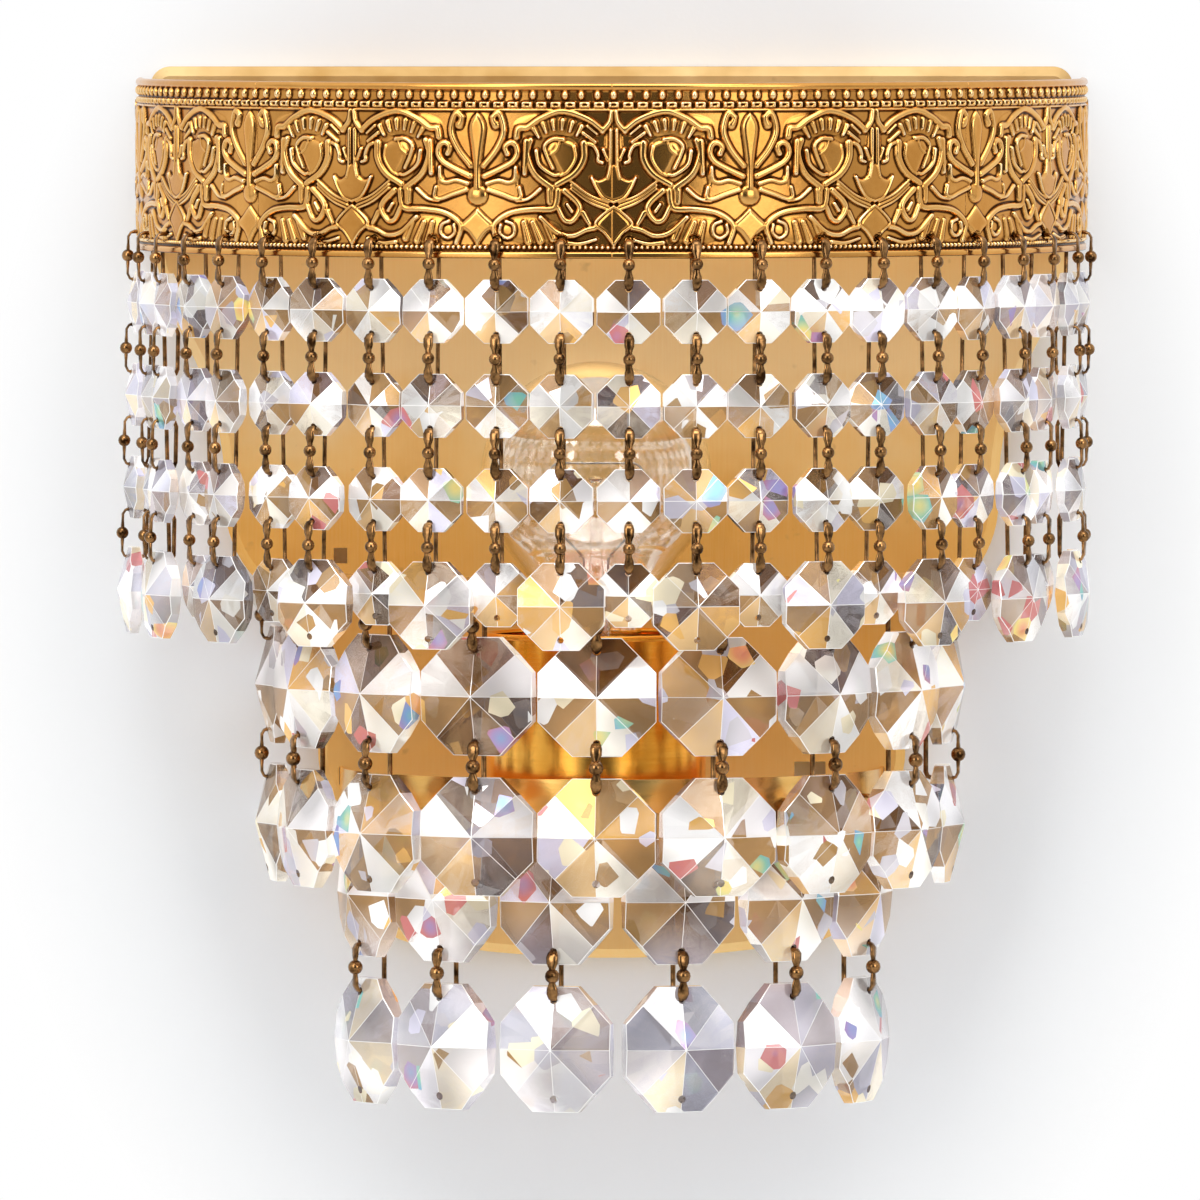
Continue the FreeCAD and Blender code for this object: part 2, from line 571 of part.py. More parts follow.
def lamp_cup():
    """A deep turned cup with a rolled lip, open at the top."""
    top = CUP_BOTTOM + CUP_HEIGHT
    wall_in = CUP_RADIUS - CUP_WALL
    body = turned([(NIPPLE_RADIUS + FIT, CUP_BOTTOM), (CUP_RADIUS, CUP_BOTTOM),
                   (CUP_RADIUS, top), (wall_in, top), (wall_in, CUP_FLOOR),
                   (NIPPLE_RADIUS + FIT, CUP_FLOOR)], LAMP_X, LAMP_Y)
    lip = Part.makeTorus(CUP_RADIUS - CUP_WALL / 2, CUP_WALL, V(LAMP_X, LAMP_Y, top))
    return body.fuse(lip).removeSplitter()


def holder_core():
    """The ceramic body: a thick cup, bored below for the nipple and the wires."""
    seat_top = HOLDER_BOTTOM + NIPPLE_SEAT + FIT
    return turned([(NIPPLE_RADIUS + FIT, HOLDER_BOTTOM), (HOLDER_OUTER, HOLDER_BOTTOM),
                   (HOLDER_OUTER, HOLDER_TOP), (HOLDER_BORE, HOLDER_TOP),
                   (HOLDER_BORE, SOCKET_FLOOR), (WIRE_TUNNEL, SOCKET_FLOOR),
                   (WIRE_TUNNEL, seat_top), (NIPPLE_RADIUS + FIT, seat_top)], LAMP_X, LAMP_Y)


def holder_shell():
    """The brass sleeve round the ceramic body, turned in a little at the top."""
    inner = HOLDER_OUTER + FIT
    outer = inner + HOLDER_SLEEVE
    lip = inner - HOLDER_LIP
    under = HOLDER_TOP + FIT
    return turned([(inner, HOLDER_BOTTOM), (outer, HOLDER_BOTTOM),
                   (outer, under + HOLDER_SLEEVE), (lip, under + HOLDER_SLEEVE),
                   (lip, under), (inner, under)], LAMP_X, LAMP_Y)


def thread_line(crest, root, z0, z1):
    """Zigzag (radius, z) points from z0 up to z1, for a rolled thread."""
    turns = max(1, int((z1 - z0) / THREAD_PITCH))
    step = (z1 - z0) / (2 * turns)
    return [(crest if i % 2 else root, z0 + step * i) for i in range(2 * turns + 1)]


def holder_contacts():
    """The rolled brass thread and the centre contact on the socket's floor."""
    root = CAP_RADIUS + SOCKET_CLEARANCE + THREAD_DEPTH
    foot_top = SOCKET_FLOOR + THREAD_FOOT
    inner = thread_line(root - THREAD_DEPTH, root, foot_top, HOLDER_TOP - THREAD_FOOT)
    outer = [(r + CAP_WALL, z) for r, z in reversed(inner)]
    foot = [(root + CAP_WALL, SOCKET_FLOOR), (root, SOCKET_FLOOR)]
    thread = turned(inner + outer + foot, LAMP_X, LAMP_Y)
    ring = upright(CONTACT_RADIUS, SOCKET_FLOOR, SOCKET_FLOOR + CONTACT_THICK, LAMP_X, LAMP_Y)
    return Part.makeCompound([thread, ring])


# --- bulb ----------------------------------------------------------------------------
def bulb_profile(inset):
    """Outline of the glass on the right of the lamp's axis, moved inwards by inset."""
    centre = BULB_TOP - BULB_RADIUS
    radius = BULB_RADIUS - inset
    neck = NECK_RADIUS - inset
    neck_top = CAP_TOP + NECK_LENGTH
    neck_end = CAP_TOP - NECK_SEAT

    def on_globe(degrees):
        turn = math.radians(degrees)
        return V(LAMP_X + radius * math.cos(turn), LAMP_Y, centre + radius * math.sin(turn))

    shoulder = on_globe(-BULB_SHOULDER)
    neck_start = V(LAMP_X + neck, LAMP_Y, neck_top)
    hollow = V(-BULB_SHOULDER_HOLLOW, 0, -BULB_SHOULDER_HOLLOW)
    bow = (shoulder + neck_start) / 2 + hollow
    corner = V(LAMP_X + neck, LAMP_Y, neck_end)
    middle = V(LAMP_X, LAMP_Y, neck_end)
    return [
        arc(on_globe(90), on_globe(45), on_globe(0)),
        arc(on_globe(0), on_globe(-BULB_SHOULDER / 2), shoulder),
        arc(shoulder, bow, neck_start),
        line(neck_start, corner),
        line(corner, middle),
        line(middle, on_globe(90)),
    ]


def bulb_solid(inset):
    face = Part.Face(Part.Wire(bulb_profile(inset)))
    return face.revolve(V(LAMP_X, LAMP_Y, 0), V(0, 0, 1), 360)


def bulb_glass():
    neck_end = CAP_TOP - NECK_SEAT
    open_end = upright(NECK_RADIUS - BULB_GLASS, neck_end - 1, neck_end + 1, LAMP_X, LAMP_Y)
    return bulb_solid(0).cut(bulb_solid(BULB_GLASS)).cut(open_end)


def bulb_stem():
    """The glass foot that closes the neck, with the rod that carries the filament."""
    seat = NECK_RADIUS - BULB_GLASS - FIT
    base = CAP_TOP - NECK_SEAT
    foot, waist, rod, knob = STEM_RADII
    waist_top = base + STEM_FOOT + STEM_NECK
    rod_top = waist_top + STEM_ROD
    return turned([(0, base), (seat, base), (seat, base + 1.2), (foot, base + STEM_FOOT),
                   (waist, base + STEM_FOOT + STEM_NECK * 0.7), (rod, waist_top),
                   (rod, rod_top), (knob, rod_top + 1.0), (0, rod_top + 2.0)], LAMP_X, LAMP_Y)


def wire_path(points, bends):
    """A wire of straight runs joined by tangent arcs; points lie in one upright plane."""
    edges = []
    last = points[0]
    for corner, after, bend in zip(points[1:-1], points[2:], bends):
        back = (last - corner).normalize()
        ahead = (after - corner).normalize()
        reach = bend / math.tan(back.getAngle(ahead) / 2)
        start = corner + back * reach
        end = corner + ahead * reach
        middle = corner + (back + ahead).normalize() * (
            math.hypot(bend, reach) - bend)
        edges += [line(last, start), arc(start, middle, end)]
        last = end
    edges.append(line(last, points[-1]))
    return Part.Wire(edges)


def tube(path, radius):
    start = path.Edges[0].Vertexes[0].Point
    way = path.Edges[0].tangentAt(path.Edges[0].FirstParameter)
    section = Part.Wire(Part.makeCircle(radius, start, way))
    return path.makePipeShell([section], True, False)


def bulb_filament():
    """Two lead wires up from the stem and a wire hung between them over the rod."""
    waist_top = CAP_TOP - NECK_SEAT + STEM_FOOT + STEM_NECK
    low = waist_top - STEM_NECK * 0.25
    splay_end = low + STEM_NECK * 0.75
    top = waist_top + STEM_ROD + 5.0
    near = STEM_RADII[1] + FILAMENT_RADIUS + FIT

    def at(side, z):
        return V(LAMP_X + side, LAMP_Y, z)

    points = [at(-near, low), at(-near, low + STEM_NECK * 0.3), at(-FILAMENT_SPREAD, splay_end),
              at(-FILAMENT_SPREAD, top), at(FILAMENT_SPREAD, top),
              at(FILAMENT_SPREAD, splay_end), at(near, low + STEM_NECK * 0.3), at(near, low)]
    return tube(wire_path(points, FILAMENT_BENDS), FILAMENT_RADIUS)


def bulb_cap():
    """The thin screw cap over the neck, closed below by its insulator and end contact."""
    crest = CAP_RADIUS
    root = CAP_RADIUS - THREAD_DEPTH
    shoulder = BULB_BOTTOM + CAP_BASE
    profile = [(0, BULB_BOTTOM), (END_CONTACT_RADIUS, BULB_BOTTOM),
               (END_CONTACT_RADIUS, BULB_BOTTOM + CAP_BASE / 4), (root - 3.0, shoulder - 1.0)]
    profile += thread_line(crest, root, shoulder, CAP_TOP)
    inner = NECK_RADIUS + FIT
    profile += [(inner, CAP_TOP), (inner, shoulder + 1.0), (inner - 3.0, shoulder), (0, shoulder)]
    return turned(profile, LAMP_X, LAMP_Y)


# --- wiring --------------------------------------------------------------------------
def wire_offsets():
    return (-WIRE_RADIUS - WIRE_GAP / 2, WIRE_RADIUS + WIRE_GAP / 2)


def wire_y():
    return FACE_Y + TRAY_SHEET + TERMINAL_SIZE[1] * TERMINAL_WIRE_SHARE


def terminal_screw_places():
    x_out = TERMINAL_SIZE[0] / 4
    z_mid = TERMINAL_TOP - TERMINAL_SIZE[2] / 2
    return [(LAMP_X + side * x_out, z_mid + rise)
            for side in (-1, 1) for rise in (-TERMINAL_SCREW_RISE, TERMINAL_SCREW_RISE)]


def terminal_block():
    """A moulded block on the tray's inside, with a tunnel for each core."""
    wide, deep, tall = TERMINAL_SIZE
    back = FACE_Y + TRAY_SHEET
    bottom = TERMINAL_TOP - tall
    block = box(LAMP_X - wide / 2, LAMP_X + wide / 2, back, back + deep, bottom, TERMINAL_TOP)
    for offset in wire_offsets():
        tunnel = upright(WIRE_RADIUS + FIT / 2, bottom - 1, TERMINAL_TOP + 1,
                         LAMP_X + offset, wire_y())
        block = block.cut(tunnel)
    seat = back + deep - TERMINAL_SCREW_DEPTH
    for x, z in terminal_screw_places():
        block = block.cut(along_y(TERMINAL_SCREW_RADIUS + THREAD_FIT, x, z, seat, 1))
    return block


def terminal_screws():
    face = FACE_Y + TRAY_SHEET + TERMINAL_SIZE[1]
    head = face - TERMINAL_SCREW_SINK
    cut = TERMINAL_SCREW_RADIUS * 0.2
    screws = []
    for x, z in terminal_screw_places():
        screw = along_y(TERMINAL_SCREW_RADIUS, x, z, face - TERMINAL_SCREW_DEPTH, head)
        slot = box(x - TERMINAL_SCREW_RADIUS, x + TERMINAL_SCREW_RADIUS,
                   head - TERMINAL_SCREW_SINK, face, z - cut, z + cut)
        screws.append(screw.cut(slot))
    return Part.makeCompound(screws)


def lamp_wires():
    """Both cores, from the terminal block through the bush and up the nipple."""
    wires = []
    for offset in wire_offsets():
        x = LAMP_X + offset
        start = V(x, wire_y(), TERMINAL_TOP - TERMINAL_SIZE[2] / 2)
        points = [start, V(x, wire_y(), BUSH_Z), V(x, LAMP_Y, BUSH_Z), V(x, LAMP_Y, WIRE_END)]
        wires.append(tube(wire_path(points, [WIRE_TRAY_BEND, WIRE_BEND]), WIRE_RADIUS))
    return Part.makeCompound(wires)


def wire_bush():
    """A snap-in bush through the bracket's foot and the tray."""
    front = FACE_Y - BRACKET_THICK
    back = FACE_Y + TRAY_SHEET
    bush = along_y(BUSH_RADIUS, LAMP_X, BUSH_Z, front - BUSH_LIP, back + BUSH_LIP / 2)
    lip = along_y(BUSH_RADIUS + BUSH_LIP, LAMP_X, BUSH_Z, front - BUSH_LIP, front)
    bore = along_y(BUSH_RADIUS - BUSH_WALL, LAMP_X, BUSH_Z, front - 9, back + 9)
    return bush.fuse(lip).removeSplitter().cut(bore)


# --- crystals and their links --------------------------------------------------------
def crystal(size, hole_radius):
    """A cut octagon about the origin, facing -Y: eight kites meet at each face's middle."""
    width, height, middle_half, flat_half, inset = size
    step = math.radians(22.5)
    corner_half = middle_half - (middle_half - flat_half) / math.cos(step) ** 2
    front, back = [], []
    for i in range(16):
        corner = i % 2
        reach = 0.5 / math.cos(step) if corner else 0.5
        half = corner_half if corner else flat_half
        x = reach * width * math.cos(step * i)
        z = reach * height * math.sin(step * i)
        front.append(V(x, -half, z))
        back.append(V(x, half, z))
    faces = []
    for i in range(1, 16, 2):
        after = (i + 1) % 16
        for tip, ring in ((V(0, -middle_half, 0), front), (V(0, middle_half, 0), back)):
            kite = [tip, ring[i - 1], ring[i], ring[after], tip]
            faces.append(Part.Face(Part.makePolygon(kite)))
    for i in range(16):
        after = (i + 1) % 16
        side = [front[i], front[after], back[after], back[i], front[i]]
        faces.append(Part.Face(Part.makePolygon(side)))
    solid = Part.Solid(Part.Shell(faces))
    if solid.Volume < 0:
        solid.reverse()
    for way in (-1, 1):
        solid = solid.cut(along_y(hole_radius, 0, way * (height / 2 - inset),
                                  -middle_half - 1, middle_half + 1))
    return solid


def strap(wide_z, narrow_z, ball, front):
    """A flattened, tapering end of a link, broad at wide_z and half as broad at narrow_z."""
    half = ball * STRAP_BALL_SHARE
    thick = ball * STRAP_THIN_SHARE
    corners = [V(-half, front - thick, wide_z), V(half, front - thick, wide_z),
               V(half / 2, front - thick, narrow_z), V(-half / 2, front - thick, narrow_z)]
    return Part.Face(Part.makePolygon(corners + [corners[0]])).extrude(V(0, 2 * thick, 0))


def link(kind):
    """A wire link hung from its top bar's middle at the origin, with a ball in front."""
    wire, depth, ball, _ = kind
    flat = depth - LINK_CORNER
    low_corner = -LINK_PITCH + LINK_CORNER
    pieces = []
    for z in (0, -LINK_PITCH):
        pieces.append(Part.makeCylinder(wire, 2 * flat, V(0, -flat, z), V(0, 1, 0)))
    for side in (-1, 1):
        pieces.append(upright(wire, low_corner, -LINK_CORNER, 0, side * depth))
        for z, turn in ((-LINK_CORNER, 1), (low_corner, -1)):
            ring = Part.Face(Part.Wire(Part.makeCircle(
                wire, V(0, side * depth, z), V(0, 0, 1))))
            pieces.append(ring.revolve(V(0, side * flat, z), V(side * turn, 0, 0), 90))
    front = -depth
    middle = -LINK_PITCH / 2
    pieces.append(Part.makeSphere(ball, V(0, front, middle)))
    pieces.append(strap(middle + ball * 0.6, -wire, ball, front))
    pieces.append(strap(middle - ball * 0.6, -LINK_PITCH + wire, ball, front))
    return pieces[0].fuse(pieces[1:]).removeSplitter()


def turn_of(strand, row, sizes):
    """How far a crystal has turned about its strand; the bottom upper row hangs square."""
    if len(sizes) == 4 and row == 3:
        return 0.0
    return TURN * math.sin(TURN_PER_STRAND * strand + TURN_PER_ROW * row)


def about_strand(shape, turn, drop):
    """A copy turned about the strand's line and lowered by drop."""
    copy = shape.copy()
    copy.rotate(V(0, 0, 0), V(0, 0, 1), turn)
    copy.translate(V(0, 0, -drop))
    return copy


def strand(index, sizes, kind, cut, link_shape, angle, radius, z, lean):
    """Links and crystals down one strand, hung at an angle round a strip."""
    solids = []
    drop = 0.0
    turn = 0.0
    for row, size in enumerate(sizes):
        height, inset = size[1], size[4]
        next_turn = turn_of(index, row, sizes)
        solids.append(about_strand(link_shape, (turn + next_turn) / 2, drop))
        drop += LINK_PITCH + height / 2 - inset
        solids.append(about_strand(cut[size], next_turn, drop))
        drop += height / 2 - inset
        turn = next_turn
    group = Part.makeCompound(solids)
    group.rotate(V(0, 0, 0), V(1, 0, 0), -lean)
    group.rotate(V(0, 0, 0), V(0, 0, 1), angle)
    group.translate(V(0, FACE_Y, z) + outward(angle) * radius)
    return group


def save_strands():
    fine_hole = FINE_WIRE + FINE_CLEARANCE
    stout_hole = STOUT_WIRE + STOUT_CLEARANCE
    cut = {SMALL: crystal(SMALL, fine_hole), MEDIUM: crystal(MEDIUM, fine_hole),
           LARGE: crystal(LARGE, stout_hole), TALL: crystal(TALL, stout_hole)}
    fine, stout = link(FINE_LINK), link(STOUT_LINK)
    for i, angle in enumerate(upper_angles()):
        wide_end = i % 2 == 0
        sizes = [SMALL, SMALL, SMALL, MEDIUM if wide_end else SMALL]
        lean = UPPER_LEAN if wide_end else -UPPER_LEAN
        save(strand(i, sizes, FINE_LINK, cut, fine, angle, GALLERY_MIDDLE,
                    GALLERY_BOTTOM + GALLERY_LIP, lean), "upper_strand_%02d" % (i + 1))
    rings = (("middle", middle_angles(), MIDDLE_LINE, MIDDLE_TOP, LARGE),
             ("lower", lower_angles(), LOWER_LINE, LOWER_TOP, TALL))
    for name, angles, radius, top, size in rings:
        for i, angle in enumerate(angles):
            save(strand(i, [size, size], STOUT_LINK, cut, stout, angle, radius,
                        top - RING_HEIGHT + RING_LIP, 0.0), "%s_strand_%d" % (name, i + 1))


def main():
    os.makedirs(OUT, exist_ok=True)
    save(back_tray(), "back_tray")
    save(wall_bar(), "wall_bar")
    save(fixing_screws(), "fixing_screws")
    save(gallery_band(), "gallery_band")
    save(rivets(), "rivets")
    save(strip_ring(MIDDLE_RADIUS, MIDDLE_TOP, middle_angles()), "middle_ring")
    save(strip_ring(LOWER_RADIUS, LOWER_TOP, lower_angles()), "lower_ring")
    save(lamp_bracket(), "lamp_bracket")
    save(lamp_cup(), "lamp_cup")
    save(holder_nipple(), "holder_nipple")
    save(nipple_nuts(), "nipple_nuts")
    save(holder_shell(), "holder_shell")
    save(holder_core(), "holder_core")
    save(holder_contacts(), "holder_contacts")
    save(bulb_glass(), "bulb_glass")
    save(bulb_cap(), "bulb_cap")
    save(bulb_stem(), "bulb_stem")
    save(bulb_filament(), "bulb_filament")
    save(terminal_block(), "terminal_block")
    save(terminal_screws(), "terminal_screws")
    save(lamp_wires(), "lamp_wires")
    save(wire_bush(), "wire_bush")
    save(earth_screw(), "earth_screw")
    save_strands()


main()
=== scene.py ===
import math
import bmesh
import bpy
import numpy as np
from mathutils import Matrix, Vector


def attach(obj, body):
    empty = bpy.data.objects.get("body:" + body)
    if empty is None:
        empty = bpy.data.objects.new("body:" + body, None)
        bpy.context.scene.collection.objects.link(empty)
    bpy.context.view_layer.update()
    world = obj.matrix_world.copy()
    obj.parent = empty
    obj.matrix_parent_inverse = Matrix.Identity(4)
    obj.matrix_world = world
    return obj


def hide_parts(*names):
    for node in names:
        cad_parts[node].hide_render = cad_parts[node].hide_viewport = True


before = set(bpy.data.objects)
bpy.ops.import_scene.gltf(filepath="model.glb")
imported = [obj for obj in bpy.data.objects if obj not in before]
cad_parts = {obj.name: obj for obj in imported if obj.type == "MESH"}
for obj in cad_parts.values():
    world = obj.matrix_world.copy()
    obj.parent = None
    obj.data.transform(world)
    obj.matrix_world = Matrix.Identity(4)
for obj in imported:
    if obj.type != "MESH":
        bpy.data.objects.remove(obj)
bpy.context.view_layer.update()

MM = 0.001


# --- wall, floor, light and camera ----------------------------------------------------
# The sconce hangs on a white wall and is seen from in front and slightly above. The room
# has a bright window to the left and a darker middle, which the curved metal picks up.
class Value:
    """A shader socket. Python arithmetic on it adds the Math nodes that do the sum."""

    def __init__(self, paint, socket):
        self.paint = paint
        self.socket = socket

    def also(self, name):
        """Another output of the same node."""
        return Value(self.paint, self.socket.node.outputs[name])

    def work(self, operation, first, second=0.0):
        return self.paint.node("ShaderNodeMath", {0: first, 1: second}, operation=operation)

    def __add__(self, other):
        return self.work("ADD", self, other)

    def __sub__(self, other):
        return self.work("SUBTRACT", self, other)

    def __rsub__(self, other):
        return self.work("SUBTRACT", other, self)

    def __mul__(self, other):
        return self.work("MULTIPLY", self, other)

    def __truediv__(self, other):
        return self.work("DIVIDE", self, other)

    def most(self, other):
        return self.work("MAXIMUM", self, other)

    def above(self, other):
        return self.work("GREATER_THAN", self, other)

    __radd__ = __add__
    __rmul__ = __mul__


class Paint:
    """The node tree of one finish, or of the room."""

    def __init__(self, owner):
        owner.use_nodes = True
        self.owner = owner
        self.tree = owner.node_tree
        self.tree.nodes.clear()

    def node(self, kind, sockets=None, out=0, stops=None, **settings):
        made = self.tree.nodes.new(kind)
        for name, value in settings.items():
            setattr(made, name, value)
        if stops:
            ramp = made.color_ramp.elements
            ramp.remove(ramp[1])
            ramp[0].position, ramp[0].color = stops[0][0], (*stops[0][1], 1.0)
            for place, colour in stops[1:]:
                ramp.new(place).color = (*colour, 1.0)
        for name, value in (sockets or {}).items():
            if isinstance(value, Value):
                self.tree.links.new(value.socket, made.inputs[name])
            else:
                made.inputs[name].default_value = value
        return Value(self, made.outputs[out]) if made.outputs else None

    def ramp(self, amount, stops, interpolation="LINEAR"):
        made = self.node("ShaderNodeValToRGB", {0: amount}, stops=stops)
        made.socket.node.color_ramp.interpolation = interpolation
        return made

    def blend(self, amount, first, second, way="MIX"):
        return self.node("ShaderNodeMix", {0: amount, 6: first, 7: second}, out=2,
                         data_type="RGBA", blend_type=way)

    def either(self, amount, first, second):
        return self.node("ShaderNodeMixShader", {0: amount, 1: first, 2: second})

    def place(self, stretch=(1.0, 1.0, 1.0)):
        at = self.node("ShaderNodeTexCoord", out="Object")
        if stretch == (1.0, 1.0, 1.0):
            return at
        return self.node("ShaderNodeMapping", {"Vector": at, "Scale": stretch})

    def noise(self, scale, detail=3.0, stretch=(1.0, 1.0, 1.0), rough=0.5):
        return self.node("ShaderNodeTexNoise", {"Vector": self.place(stretch), "Scale": scale,
                                                "Detail": detail, "Roughness": rough})

    def spread(self, value, low, high, to_low=0.0, to_high=1.0):
        return self.node("ShaderNodeMapRange", {0: value, 1: low, 2: high, 3: to_low, 4: to_high})

    def bump(self, height, depth_mm, strength=1.0):
        return self.node("ShaderNodeBump", {"Height": height, "Distance": depth_mm * MM,
                                            "Strength": strength})

    def attribute(self, name):
        return self.node("ShaderNodeAttribute", out="Fac", attribute_name=name)

    def light_path(self, name):
        return self.node("ShaderNodeLightPath", out=name)

    def shader(self, **sockets):
        named = {name.replace("_", " "): value for name, value in sockets.items()}
        return self.node("ShaderNodeBsdfPrincipled", named)

    def finish(self, surface):
        self.node("ShaderNodeOutputMaterial", {0: surface})
        return self.owner


def rgb(red, green, blue):
    return (red, green, blue, 1.0)


def new_paint(name):
    return Paint(bpy.data.materials.new(name))


def one_sided(paint, surface):
    """Clear from behind, so that the sconce can be looked at from the wall's side."""
    behind = paint.node("ShaderNodeNewGeometry", out="Backfacing")
    return paint.either(behind, surface, paint.node("ShaderNodeBsdfTransparent"))


def plane(name, corners, material):
    mesh = bpy.data.meshes.new(name)
    mesh.from_pydata(corners, [], [tuple(range(len(corners)))])
    mesh.materials.append(material)
    made = bpy.data.objects.new(name, mesh)
    bpy.context.collection.objects.link(made)
    return made


def plaster(name, colour, white_share):
    """Matt paint, shown as plain white far from the sconce, where its shadow has ended."""
    paint = new_paint(name)
    grain = paint.noise(900.0, 4.0)
    tone = paint.blend(paint.noise(3.0, 2.0), rgb(*colour), rgb(*[c * 0.985 for c in colour]))
    matt = paint.shader(Base_Color=tone, Roughness=0.9, Normal=paint.bump(grain, 0.1, 0.3))
    seen = (paint.light_path("Is Camera Ray") + paint.light_path("Is Glossy Ray")
            + paint.light_path("Is Transmission Ray"))
    from_middle = paint.node("ShaderNodeVectorMath", {
        0: paint.place((1.0, 1.0, 0.72)), 1: (0.0, 0.0, -0.08)}, operation="DISTANCE", out="Value")
    away = paint.spread(from_middle, 0.118, 0.165)
    white = paint.node("ShaderNodeEmission", {"Color": rgb(1.0, 1.0, 1.0), "Strength": 1.0})
    lit = paint.either(seen * away * white_share, matt, white)
    return paint.finish(one_sided(paint, lit))


WALL_Y = 0.0004
FLOOR_Z = -0.9
wall_paint = plaster("white_wall", (0.895, 0.925, 0.960), 1.0)
# The wall is open where the tray hides it, so that light reaches the tray's back: from
# below upwards, each row's lower and upper edge and half the width of its opening.
WALL_ROWS = ((FLOOR_Z, -0.195, 0.0), (-0.195, -0.085, 0.045), (-0.085, 0.016, 0.098),
             (0.016, 2.0, 0.0))
for row, (low, top, gap) in enumerate(WALL_ROWS):
    for side, left, right in (("left", -3.0, -gap), ("right", gap, 3.0)):
        plane("wall_%s_%d" % (side, row), [(left, WALL_Y, low), (right, WALL_Y, low),
                                           (right, WALL_Y, top), (left, WALL_Y, top)], wall_paint)
plane("floor", [(-3, -6, FLOOR_Z), (3, -6, FLOOR_Z), (3, WALL_Y, FLOOR_Z), (-3, WALL_Y, FLOOR_Z)],
      plaster("pale_floor", (0.82, 0.81, 0.79), 0.4))

# Light from each direction of the room, by the angle round from straight ahead.
ROOM_LIGHT = [(0.00, 0.65), (0.24, 0.65), (0.30, 0.95), (0.355, 0.70), (0.395, 1.05),
              (0.410, 1.60), (0.432, 1.60), (0.452, 0.50), (0.475, 0.09), (0.540, 0.07),
              (0.558, 0.45), (0.575, 1.30), (0.61, 1.15), (0.64, 0.55), (0.70, 0.85), (1.00, 0.65)]
DIFFUSE_LIGHT = 0.38

world = bpy.data.worlds.new("room")
bpy.context.scene.world = world
room = Paint(world)
across = room.node("ShaderNodeSeparateXYZ", {0: room.node("ShaderNodeTexCoord", out="Generated")})
round_angle = room.node("ShaderNodeMath", {0: across, 1: across.also("Y") * -1.0},
                        operation="ARCTAN2") / math.tau + 0.5
band_light = room.ramp(round_angle, [(at, (level / 2, level / 2 * 0.985, level / 2 * 0.95))
                                     for at, level in ROOM_LIGHT], "EASE")
ceiling = room.spread(across.also("Z"), 0.18, 0.85, 0.0, 0.7)
band_light = room.blend(ceiling, band_light, rgb(0.80, 0.79, 0.77))
floor_shade = room.spread(across.also("Z"), -0.10, -0.55)
band_light = room.blend(floor_shade, band_light, rgb(0.06, 0.05, 0.04))
soft = room.node("ShaderNodeBackground", {0: rgb(1.0, 1.0, 1.0), 1: DIFFUSE_LIGHT})
shine = room.node("ShaderNodeBackground", {0: band_light, 1: 2.0})
plain_white = room.node("ShaderNodeBackground", {0: rgb(1.0, 1.0, 1.0), 1: 1.0})
mirrored = room.light_path("Is Glossy Ray").most(room.light_path("Is Transmission Ray"))
sky = room.either(room.light_path("Is Camera Ray"), room.either(mirrored, soft, shine), plain_white)
room.node("ShaderNodeOutputWorld", {0: sky})


LAMP_COLOUR = (1.0, 0.99, 0.975)
LAMP_AIM = Vector((0.0, 0.0, -0.1))


def soft_lamp(name, place, size, power):
    data = bpy.data.lights.new(name, "AREA")
    data.shape = "RECTANGLE"
    data.size, data.size_y = size
    data.energy = power
    data.color = LAMP_COLOUR
    lamp = bpy.data.objects.new(name, data)
    lamp.location = place
    lamp.rotation_euler = (LAMP_AIM - Vector(place)).to_track_quat("-Z", "Y").to_euler()
    bpy.context.collection.objects.link(lamp)


soft_lamp("window_light", (-1.5, -2.1, 0.9), (1.1, 1.7), 17.5)
soft_lamp("room_light", (1.4, -2.2, 0.6), (1.1, 1.3), 11.5)
soft_lamp("ceiling_light", (0.0, -1.2, 1.9), (2.0, 1.2), 27.0)

camera_data = bpy.data.cameras.new("camera")
camera_data.lens = 540.3
camera_data.sensor_width = 36.0
camera_data.clip_end = 30.0
camera = bpy.data.objects.new("camera", camera_data)
camera.location = (-0.003, -4.636, 0.0689)
camera.rotation_euler = (math.radians(90.0 - 2.267), 0.0, 0.0)
bpy.context.collection.objects.link(camera)
bpy.context.scene.camera = camera
bpy.context.scene.view_settings.view_transform = "Standard"


# --- wall bar and fixing screws -------------------------------------------------------
# A flat bar of zinc-plated steel is screwed to the wall. Two screws through the tray pull
# it onto the bar.
def zinc_plate():
    paint = new_paint("zinc_plate")
    cloud = paint.noise(160.0, 4.0)
    spangle = paint.node("ShaderNodeTexVoronoi", {"Vector": paint.place(), "Scale": 420.0})
    tone = paint.ramp(cloud, [(0.3, (0.50, 0.50, 0.47)), (0.7, (0.70, 0.70, 0.68))])
    tone = paint.blend(paint.spread(spangle, 0.2, 0.7) * 0.25, tone, rgb(0.78, 0.77, 0.70))
    rough = paint.spread(cloud, 0.3, 0.7, 0.26, 0.42)
    return paint.finish(paint.shader(
        Base_Color=tone, Metallic=1.0, Roughness=rough,
        Normal=paint.bump(paint.noise(1400.0, 2.0), 0.02, 0.4)))


def dress(node, material):
    """Gives a part of the frame its finish."""
    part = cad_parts[node]
    for place in part.material_slots:
        place.material = material
    if not part.material_slots:
        part.data.materials.append(material)


zinc = zinc_plate()
for node in ("wall_bar", "fixing_screws"):
    dress(node, zinc)


# --- back tray ------------------------------------------------------------------------
# One sheet of brass, pressed to a shallow tray with a bevelled edge, brushed up and down
# and gilded. Old handling has left soft light and dark clouds on it.
SPOT_TONE = (0.33, 0.17, 0.06)
TOP_FACE = (0.0165, 0.0185)     # heights between which the tray's bevel ends


